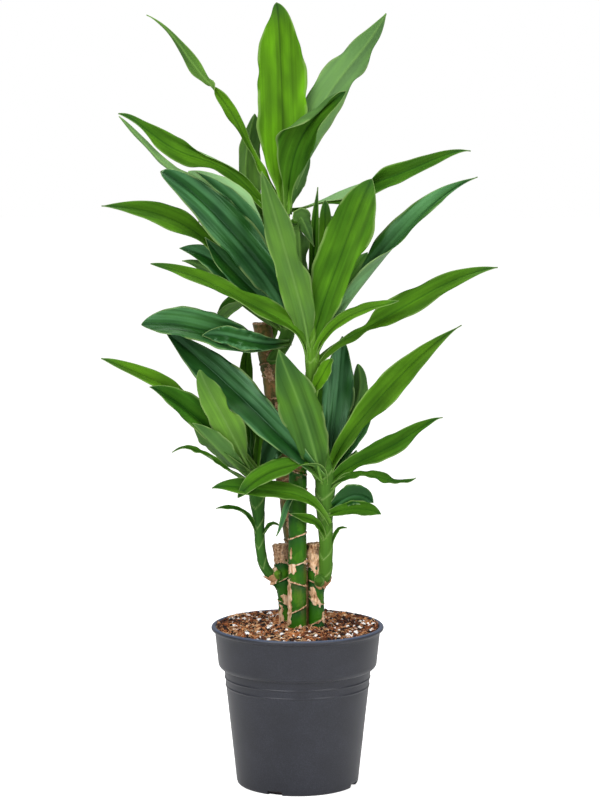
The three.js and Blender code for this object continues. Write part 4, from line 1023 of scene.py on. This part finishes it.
LEFT_BLADES = [
    dict(at=[(-7, 12, 506), (-23, -4, 547), (-49, -16, 582), (-89, -28, 628), (-146, -36, 673)], wide=46,
         face=(0.1, -1, 0.5), fold=14, curl=[(-1, 0.05, 0.6, -60)], widest=0.6, point=0.55, tone=0.08),
    dict(at=[(-10, 14, 512), (-38, 8, 592), (-70, 0, 638), (-110, -12, 673)], wide=27,
         face=(0.3, -0.8, 0.6), fold=45, tone=0.12),
    dict(at=[(-9, 14, 498), (-50, 12, 540), (-88, 6, 574), (-128, 0, 590)], wide=30, face=(0, -1, 0.4),
         tone=0.1),
    dict(at=[(-9, 13, 500), (-38, 2, 534), (-68, -4, 564), (-100, -6, 602)], wide=30, face=(0.2, -1, 0.3),
         tone=0.12),
    dict(at=[(-10, 16, 494), (-52, 18, 528), (-88, 17, 560), (-126, 12, 576)], wide=17, face=(0, 1, 0.3),
         tone=0.5),
    dict(at=[(-9, 15, 506), (-55, 8, 555), (-102, -2, 601), (-154, -10, 628), (-211, -14, 636)], wide=29,
         face=(0, -1, 0.6), widest=0.62, point=1.1, nips=[(0.5, 0.35, 0), (0.66, -0.12, -1)], tone=0.55),
    dict(at=[(-10, 14, 483), (-52, -6, 486), (-91, -14, 499), (-130, -16, 508), (-169, -14, 508)], wide=44,
         face=(0, -1, 0.6), fold=24, point=0.75, widest=0.6, tone=0.2),
    dict(at=[(-12, 10, 486), (-45, -16, 489), (-74, -24, 496), (-103, -27, 497)], wide=24,
         face=(0, -1, 0.2), wave=3, waves=3, tone=0.1),
    dict(at=[(-11, 14, 492), (-40, 8, 528), (-66, 0, 536), (-87, -4, 520)], wide=12, face=(0, -0.7, 1),
         tone=0.35),
    dict(at=[(-8, 17, 503), (2, 50, 543), (-8, 86, 573), (-28, 116, 584)], wide=30, face=(0, -0.5, 1),
         tone=0.2),
    dict(at=[(-7, 18, 502), (10, 50, 528), (24, 84, 550), (36, 112, 558)], wide=28, face=(0, -0.5, 1),
         tone=0.2),
    dict(at=[(-9, 15, 512), (-39, 12, 586), (-62, 7, 632), (-88, 3, 656), (-118, -2, 673)], wide=34,
         face=(0.1, 1, -0.3), fold=8, point=0.7, wave=1, tone=0.6, silver=1),
]
MIDDLE_BLADES = [
    dict(at=[(13, -27, 466), (6, -40, 519), (-7, -52, 568), (-22, -62, 620), (-38, -66, 673)], wide=37,
         face=(-0.1, 1, -0.1), fold=12, wave=2.5, waves=2.2, widest=0.45, point=0.85,
         nips=[(0.57, 0.3, -1), (0.52, 0.12, 1), (0.7, -0.14, -1)], tone=0.6),
    dict(at=[(16, -25, 468), (24, -27, 519), (41, -28, 568), (60, -24, 619), (80, -18, 665)], wide=52,
         face=(-0.1, -1, 0.2), fold=16, widest=0.64, point=0.8, wave=1.5,
         nips=[(0.56, 0.22, 1), (0.42, 0.1, 1), (0.68, -0.06, 1)], tone=0.52),
    dict(at=[(18, -22, 468), (50, -14, 524), (94, -6, 580), (141, 0, 631), (195, 4, 667)], wide=40,
         face=(-0.2, -0.7, 0.7), fold=40, widest=0.58, point=1.3,
         curl=[(1, -0.2, 0.62, 130, 0.1, 0.6), (-1, 0.4, 1.1, -30)],
         nips=[(0.22, 0.3, 0), (0.38, 0.3, -1), (0.3, -0.3, 1), (0.45, -0.3, 1), (0.88, 0.3, 1)],
         tone=0.28, silver=0.3),
    dict(at=[(18, -27, 469), (31, -36, 498), (54, -42, 518), (82, -47, 529), (108, -50, 536)], wide=17,
         face=(0, -0.7, 0.8), wave=1, tone=0.66),
    dict(at=[(18, -25, 465), (44, -24, 489), (80, -22, 508), (119, -20, 530), (164, -18, 554),
             (216, -16, 570)], wide=32, face=(0, -1, 0.6), point=1, roll=[(0.28, 75), (0.44, 0)],
         nips=[(0.22, 0.3, 0), (0.36, 0.72, 0), (0.68, 0.16, -1), (0.76, 0.14, 1)], tone=0.58),
    dict(at=[(12, -28, 466), (-11, -36, 510), (-43, -42, 528), (-77, -44, 546), (-115, -42, 563),
             (-157, -40, 575)], wide=31, face=(0, -0.7, 0.9), widest=0.38, point=0.7,
         nips=[(0.52, 0.25, 1), (0.58, 0.2, -1), (0.8, 0.1, 1), (0.9, 0.2, -1)], tone=0.6),
    dict(at=[(16, -25, 468), (24, -16, 530), (29, -10, 585), (30, -6, 642)], wide=14, face=(0, -1, 0),
         fold=10, widest=0.84, point=0.55, wave=1, tone=0.6),
    dict(at=[(15, -25, 468), (17, -12, 530), (18, -6, 590), (22, 0, 656)], wide=13, face=(0, -1, 0),
         curl=[(1, 0.3, 1, 70)], tone=0.4),
    dict(at=[(14, -24, 468), (6, -10, 545), (2, -4, 604), (4, -6, 622), (18, -14, 592)], wide=24,
         face=(-0.3, 1, 0), fold=24, roll=[(0.4, 0), (0.62, 70), (0.8, 10)], wave=5, waves=3.5, widest=0.7,
         point=1.1, nips=[(0.6, 0.3, 1), (0.8, 0.3, -1)], tone=0.5),
    dict(at=[(16, -28, 436), (24, -36, 450), (31, -38, 463), (38, -36, 473)], wide=17, face=(0, -1, 0.3),
         wave=1, curl=[(1, 0.3, 1.2, 60)], tone=0.8),
    dict(at=[(17, -22, 466), (40, 10, 525), (60, 42, 560), (78, 76, 583)], wide=30, face=(0, -0.5, 1),
         wave=3, tone=0.5),
]
LOW_RIGHT_BLADES = [
    dict(at=[(29, -31, 328), (19, -50, 370), (8, -57, 409), (-6, -57, 447), (-20, -52, 484)], wide=47,
         face=(-0.1, 1, -0.1), fold=14, widest=0.54, point=0.95, nips=[(0.38, 0.1, 1), (0.86, 0.12, -1)],
         wave=1.5, tone=0.42, silver=0),
    dict(at=[(31, -27, 336), (52, -27, 384), (85, -27, 425), (126, -25, 468), (177, -22, 508)], wide=33,
         face=(0, -1, 0.3), fold=24, wave=1.5, waves=2, widest=0.55, point=1.4,
         nips=[(0.36, 0.35, 1), (0.44, 0.2, 1), (0.3, 0.2, -1)], tone=0.62),
    dict(at=[(31, -28, 333), (51, -32, 351), (75, -36, 365), (102, -39, 379), (130, -41, 397),
             (156, -42, 410)], wide=27, face=(0, -0.9, 0.5), fold=28, widest=0.5, point=1.3,
         nips=[(0.3, 0.3, 1), (0.55, -0.15, 1), (0.8, 0.3, 1), (0.4, 0.2, -1)], tone=0.42),
    dict(at=[(34, -29, 325), (66, -44, 348), (98, -50, 343), (127, -52, 346)], wide=13, face=(0, -0.8, 1),
         wave=2.5, waves=2.5, nips=[(0.6, 0.4, 1), (0.75, 0.35, -1)], tone=0.4),
    dict(at=[(33, -27, 305), (51, -34, 321), (67, -38, 325), (82, -38, 317)], wide=26, face=(0, -1, 0.3),
         fold=28, wave=1, tone=0.14),
    dict(at=[(33, -29, 301), (53, -42, 310), (73, -47, 311), (90, -48, 306)], wide=18, face=(0, -1, 0.6),
         wave=1, tone=0.5),
    dict(at=[(30, -30, 332), (18, -44, 358), (-8, -54, 359), (-36, -58, 349), (-64, -56, 325)], wide=24,
         face=(0, -0.9, 0.7), roll=[(0.25, 50), (0.6, 0)], widest=0.72, point=0.7, nips=[(0.4, 0.35, 0)],
         wave=1, tone=0.5),
    dict(at=[(32, -31, 293), (3, -46, 325), (-27, -50, 331), (-59, -50, 335), (-92, -46, 334)], wide=27,
         face=(0, -0.8, 0.8), wave=1, widest=0.58, tone=0.48),
    dict(at=[(30, -30, 276), (20, -38, 295), (8, -42, 301), (-8, -42, 306)], wide=11, face=(0, -1, 0.6),
         wave=1, tone=0.5),
    dict(at=[(36, -25, 260), (40, -27, 279), (46, -28, 287), (54, -28, 288)], wide=5, face=(0, -1, 1),
         wave=1, tone=0.4),
    dict(at=[(31, -23, 335), (40, -8, 396), (45, 2, 446), (49, 8, 494)], wide=37, face=(0, -1, 0.1),
         tone=0.05),
    dict(at=[(33, -21, 335), (54, 0, 394), (67, 12, 430), (66, 16, 463)], wide=23, face=(0, 1, 0),
         point=0.6, tone=0.4),
    dict(at=[(27, -31, 342), (-28, -38, 399), (-86, 2, 450), (-145, 14, 499)], wide=44, face=(0, -1, 0.3),
         tone=0.08),
    dict(at=[(26, -30, 316), (-2, -39, 326), (-14, -38, 306), (-23, -36, 280)], wide=7, face=(0, -1, 0.3),
         wave=1, tone=0.15),
    dict(at=[(31, -22, 330), (45, 14, 350), (55, 44, 357), (62, 72, 354)], wide=28, face=(0, 0, 1), wave=3,
         tone=0.4),
    dict(at=[(31, -21, 335), (29, 16, 388), (22, 48, 428), (12, 76, 450)], wide=30, face=(0, -0.4, 1),
         wave=3, tone=0.4),
    dict(at=[(32, -22, 336), (48, -18, 365), (66, -14, 389), (82, -12, 417)], wide=15, face=(0.2, -1, 0.3),
         wave=1.5, tone=0.2),
]
LOW_LEFT_BLADES = [
    dict(at=[(-47, 0, 340), (-64, -41, 378), (-78, -53, 409), (-92, -58, 436), (-104, -60, 463)], wide=34,
         face=(-0.2, 1, -0.1), fold=14, waves=2, widest=0.42, point=0.6,
         nips=[(0.56, 0.35, -1), (0.36, -0.12, -1), (0.95, 0.3, -1)], tone=0.75),
    dict(at=[(-44, 2, 341), (-71, -24, 381), (-100, -34, 415), (-130, -40, 438), (-169, -44, 457),
             (-210, -46, 474)], wide=21, face=(0, -0.8, 0.7), fold=28, roll=[(0.3, 70), (0.62, 0)],
         nips=[(0.55, 0.5, 0)], widest=0.7, wave=1, tone=0.7),
    dict(at=[(-45, 0, 339), (-77, -36, 377), (-107, -46, 408), (-133, -50, 430), (-158, -52, 444)], wide=35,
         face=(0.2, -0.9, 0.6), fold=44, curl=[(-1, 0, 1, -50)], wave=1.5,
         nips=[(0.42, 0.2, 1), (0.58, -0.1, 1)], tone=0.3),
    dict(at=[(-48, -2, 334), (-73, -36, 362), (-92, -54, 384), (-112, -60, 406)], wide=30,
         face=(0.4, 1, 0.2), tone=0.45),
    dict(at=[(-48, -3, 332), (-82, -38, 358), (-110, -50, 376), (-134, -56, 374)], wide=8,
         face=(0, -0.7, 1), wave=1.5, waves=3, tone=0.4),
    dict(at=[(-48, 1, 342), (-57, -6, 366), (-66, -12, 386), (-74, -16, 404)], wide=15, face=(0, -1, 0),
         tone=0.15),
    dict(at=[(-44, 3, 338), (-32, 6, 364), (-22, 5, 388), (-16, 4, 414)], wide=32, face=(0, -1, 0.1),
         tone=0.1),
    dict(at=[(-46, 1, 342), (-44, -8, 364), (-42, -12, 384), (-39, -14, 404)], wide=10, face=(0, -1, 0),
         tone=0.5),
    dict(at=[(-44, 0, 270), (-54, -6, 297), (-71, -10, 307), (-89, -12, 307)], wide=8, face=(0, -0.6, 1),
         wave=1, tone=0.3),
    dict(at=[(-41, 0, 272), (-33, -4, 284), (-27, -7, 289), (-19, -8, 287)], wide=7, face=(0, -0.6, 1),
         wave=1, tone=0.3),
    dict(at=[(-48, 5, 338), (-70, 42, 374), (-95, 72, 394), (-120, 96, 396)], wide=30, face=(0, 0, 1),
         wave=3, tone=0.3),
    dict(at=[(-47, 6, 342), (-54, 34, 392), (-58, 50, 440), (-54, 58, 486)], wide=20, face=(0, -1, 0.2),
         tone=0.5),
]

HEADS = dict(
    head_top=dict(
        stalk=[(-35, 37, 484), (-27, 42, 498), (-22, 41, 530), (-19, 34, 590), (-15, 30, 636)],
        radius=5.5, spear=60, tone=0.6, blades=TOP_BLADES,
    ),
    head_left=dict(
        stalk=[(-30, 30, 466), (-20, 22, 476), (-13, 16, 490), (-9, 14, 512)],
        radius=6, spear=45, tone=0.3, blades=LEFT_BLADES,
    ),
    head_middle=dict(
        stalk=[(4, -22, 412), (13, -24, 425), (16, -26, 445), (16, -26, 476)],
        radius=6, spear=55, tone=0.65, blades=MIDDLE_BLADES,
    ),
    head_low_right=dict(
        stalk=[(20, -17, 222), (29, -21, 234), (31, -24, 260), (30, -26, 300), (30, -27, 346)],
        radius=7.5, spear=50, tone=0.42, spread=0.4, blades=LOW_RIGHT_BLADES,
    ),
    head_low_left=dict(
        stalk=[(-19, 2, 226), (-29, 1, 231), (-37, 0, 243), (-41, 0, 265), (-43, 1, 300), (-47, 2, 348)],
        radius=5.6, spear=45, tone=0.16, spread=0.7, blades=LOW_LEFT_BLADES,
    ),
)

# Loose parts of the mix: how many, from how small to how large, how flat, how jagged, and from how dark to
# how pale.
PEAT_CRUMBS = dict(seed=21, count=3700, small=0.7, large=3.6, flat=0.7, jagged=0.7, shade=(-0.35, 0.85))
COIR_CHIPS = dict(seed=22, count=800, small=1.0, large=3.8, flat=0.25, jagged=0.5, shade=(-0.3, 0.95))
COIR_FIBRES = dict(seed=23, count=4400)
PERLITE_GRAINS = dict(seed=24, count=640, small=0.8, large=3.6, flat=0.85, jagged=0.45, shade=(0.7, 1.1))

# Dried sheaths at the feet of shoots: the head, the start along its stalk, the reach, the flare, the seed.
HUSKS = dict(
    left_joint_husk=("head_low_left", 5, 13, 1.6, 0),
    right_joint_husk=("head_low_right", 3, 15, 1.8, 5),
    middle_joint_husk=("head_middle", 6, 16, 1.5, 10),
)
BUDS = dict(
    left_bud=dict(stalk=[(-20.5, -3, 230), (-21.5, -5, 232), (-22, -7, 235)], radius=2.7, spear=3.5,
                  tone=0.95),
    right_bud=dict(stalk=[(24, -25, 228), (24, -28, 230), (24, -31, 233)], radius=4.2, spear=4, tone=0.45),
)
BARK_STRIP = [(11.4, -17, 168), (11, -17.5, 188), (10.4, -17.5, 212), (9.8, -17, 240)]


def build_pot():
    """The pot's one piece."""
    make_piece("nursery_pot", pot_part(), moulded_polypropylene(), ["pot"])


def build_mix():
    """The mix's surface and the loose grains and fibres on it."""
    peat = peat_and_coir()
    coir = coir_fibre()
    make_piece("potting_mix", soil_part(), peat, ["soil"])
    make_piece("peat_crumbs", grains_part(**PEAT_CRUMBS), peat, [])
    make_piece("coir_chips", grains_part(**COIR_CHIPS), coir, [])
    make_piece("coir_fibres", fibres_part(**COIR_FIBRES), coir, [])
    make_piece("perlite_grains", grains_part(**PERLITE_GRAINS), perlite(), [])


def build_canes():
    """One piece for each cane."""
    bark = living_cane_bark()
    for name, cane in CANES.items():
        make_piece(f"{name}_bark", cane_part(**cane), bark, [name])


def build_heads():
    """Two pieces for each leafy head: its shoot with the young blades, and its mature blades."""
    young = young_leaf()
    mature = mature_leaf()
    random = np.random.default_rng(31)
    for name, head in HEADS.items():
        shape = {key: value for key, value in head.items() if key != "blades"}
        fresh = [shoot_part(**shape, grain=random.uniform(0, 50))]
        older = []
        for row in head["blades"]:
            blade = blade_part(**row, grain=random.uniform(0, 50))
            (older if row["tone"] < MATURE_TONE else fresh).append(blade)
        make_piece(f"{name}_young_foliage", joined(fresh), young, [name])
        if older:
            make_piece(f"{name}_mature_foliage", joined(older), mature, [name])


def build_joints():
    """What sits on and between the canes: papery husks, a strip of bark and two green buds."""
    husk = papery_husk()
    for name, (head, start, reach, flare, seed) in HUSKS.items():
        part = husk_part(HEADS[head]["stalk"], HEADS[head]["radius"], start, reach, flare, seed)
        make_piece(name, part, husk, [])
    make_piece("bark_strip", strip_part(BARK_STRIP, wide=3.6, seed=3), husk, [])
    for name, bud in BUDS.items():
        make_piece(name, shoot_part(**bud, grain=3.0), bpy.data.materials["young_leaf"], [])


# ---- studio ---------------------------------------------------------------------------------------------

# How bright the room is, from straight down through the level of the eye at 0.5 to straight up.
ROOM_GREYS = [(0.0, 0.1), (0.42, 0.12), (0.5, 0.4), (0.58, 0.16), (0.8, 0.24), (1.0, 0.42)]
# Soft boxes: place and width in metres, and watts. All look at the middle of the plant.
SOFT_BOXES = dict(
    key=((-1.2, -1.9, 1.9), 1.4, 50),
    fill=((1.7, -1.8, 1.1), 1.3, 30),
    top=((0.1, 0.3, 2.6), 1.4, 26),
)
PLANT_MIDDLE = (0, 0, 0.45)
FLOOR_REACH = 30


def build_camera():
    """A long lens at the picture's height and distance, tipped down a little."""
    data = bpy.data.cameras.new("camera")
    data.sensor_width = SENSOR
    data.lens = FOCAL_LENGTH_PX / PICTURE_HEIGHT_PX * SENSOR
    data.clip_end = 50
    camera = bpy.data.objects.new("camera", data)
    camera.location = [value * MM for value in CAMERA_PLACE]
    camera.rotation_euler = (math.radians(90 - CAMERA_DOWN), 0, 0)
    bpy.context.scene.collection.objects.link(camera)
    bpy.context.scene.camera = camera


def build_floor():
    """A wide floor of white paper."""
    mesh = bpy.data.meshes.new("paper_floor")
    corners = [(FLOOR_REACH * x, FLOOR_REACH * y, 0) for x, y in ((-1, -1), (1, -1), (1, 1), (-1, 1))]
    mesh.from_pydata(corners, [], [(0, 1, 2, 3)])
    floor = bpy.data.objects.new("paper_floor", mesh)
    material, tree = new_material("white_paper")
    seen = add(tree, "LightPath", output="Is Camera Ray")
    surface = add(tree, "BsdfPrincipled", {
        "Base Color": "#f4f4f4",
        "Roughness": 0.9,
        "Emission Color": "#ffffff",
        "Emission Strength": add(tree, "Math", {0: seen, 1: 0.8}, operation="MULTIPLY"),
    })
    add(tree, "OutputMaterial", {"Surface": surface})
    mesh.materials.append(material)
    bpy.context.scene.collection.objects.link(floor)


def build_light():
    """A pale room, whitest at the level of the eye, and soft boxes above, in front and at both sides."""
    scene = bpy.context.scene
    scene.view_settings.view_transform = "Standard"
    world = bpy.data.worlds.new("pale_room")
    scene.world = world
    world.use_nodes = True
    tree = world.node_tree
    tree.nodes.clear()
    way = add(tree, "TexCoord", output="Generated")
    level = add(tree, "SeparateXYZ", {0: way}, "Z")
    share = add(tree, "MapRange", {"Value": level, "From Min": -1.0, "From Max": 1.0})
    greys = [(place, (grey, grey, grey, 1)) for place, grey in ROOM_GREYS]
    room = add(tree, "ValToRGB", {0: share}, stops=greys)
    back = add(tree, "Background", {"Color": room, "Strength": 1.0})
    white = add(tree, "Background", {"Color": "#ffffff", "Strength": 1.0})
    seen = add(tree, "LightPath", output="Is Camera Ray")
    either = add(tree, "MixShader", {0: seen, 1: back, 2: white})
    add(tree, "OutputWorld", {"Surface": either})
    for name, (place, size, power) in SOFT_BOXES.items():
        data = bpy.data.lights.new(name, "AREA")
        data.size = size
        data.energy = power
        lamp = bpy.data.objects.new(name, data)
        lamp.location = place
        aim = np.array(PLANT_MIDDLE) - place
        lamp.rotation_euler = (math.atan2(math.hypot(aim[0], aim[1]), -aim[2]), 0,
                               math.atan2(-aim[0], aim[1]))
        scene.collection.objects.link(lamp)


build_pot()
build_mix()
build_canes()
build_heads()
build_joints()
build_camera()
build_floor()
build_light()
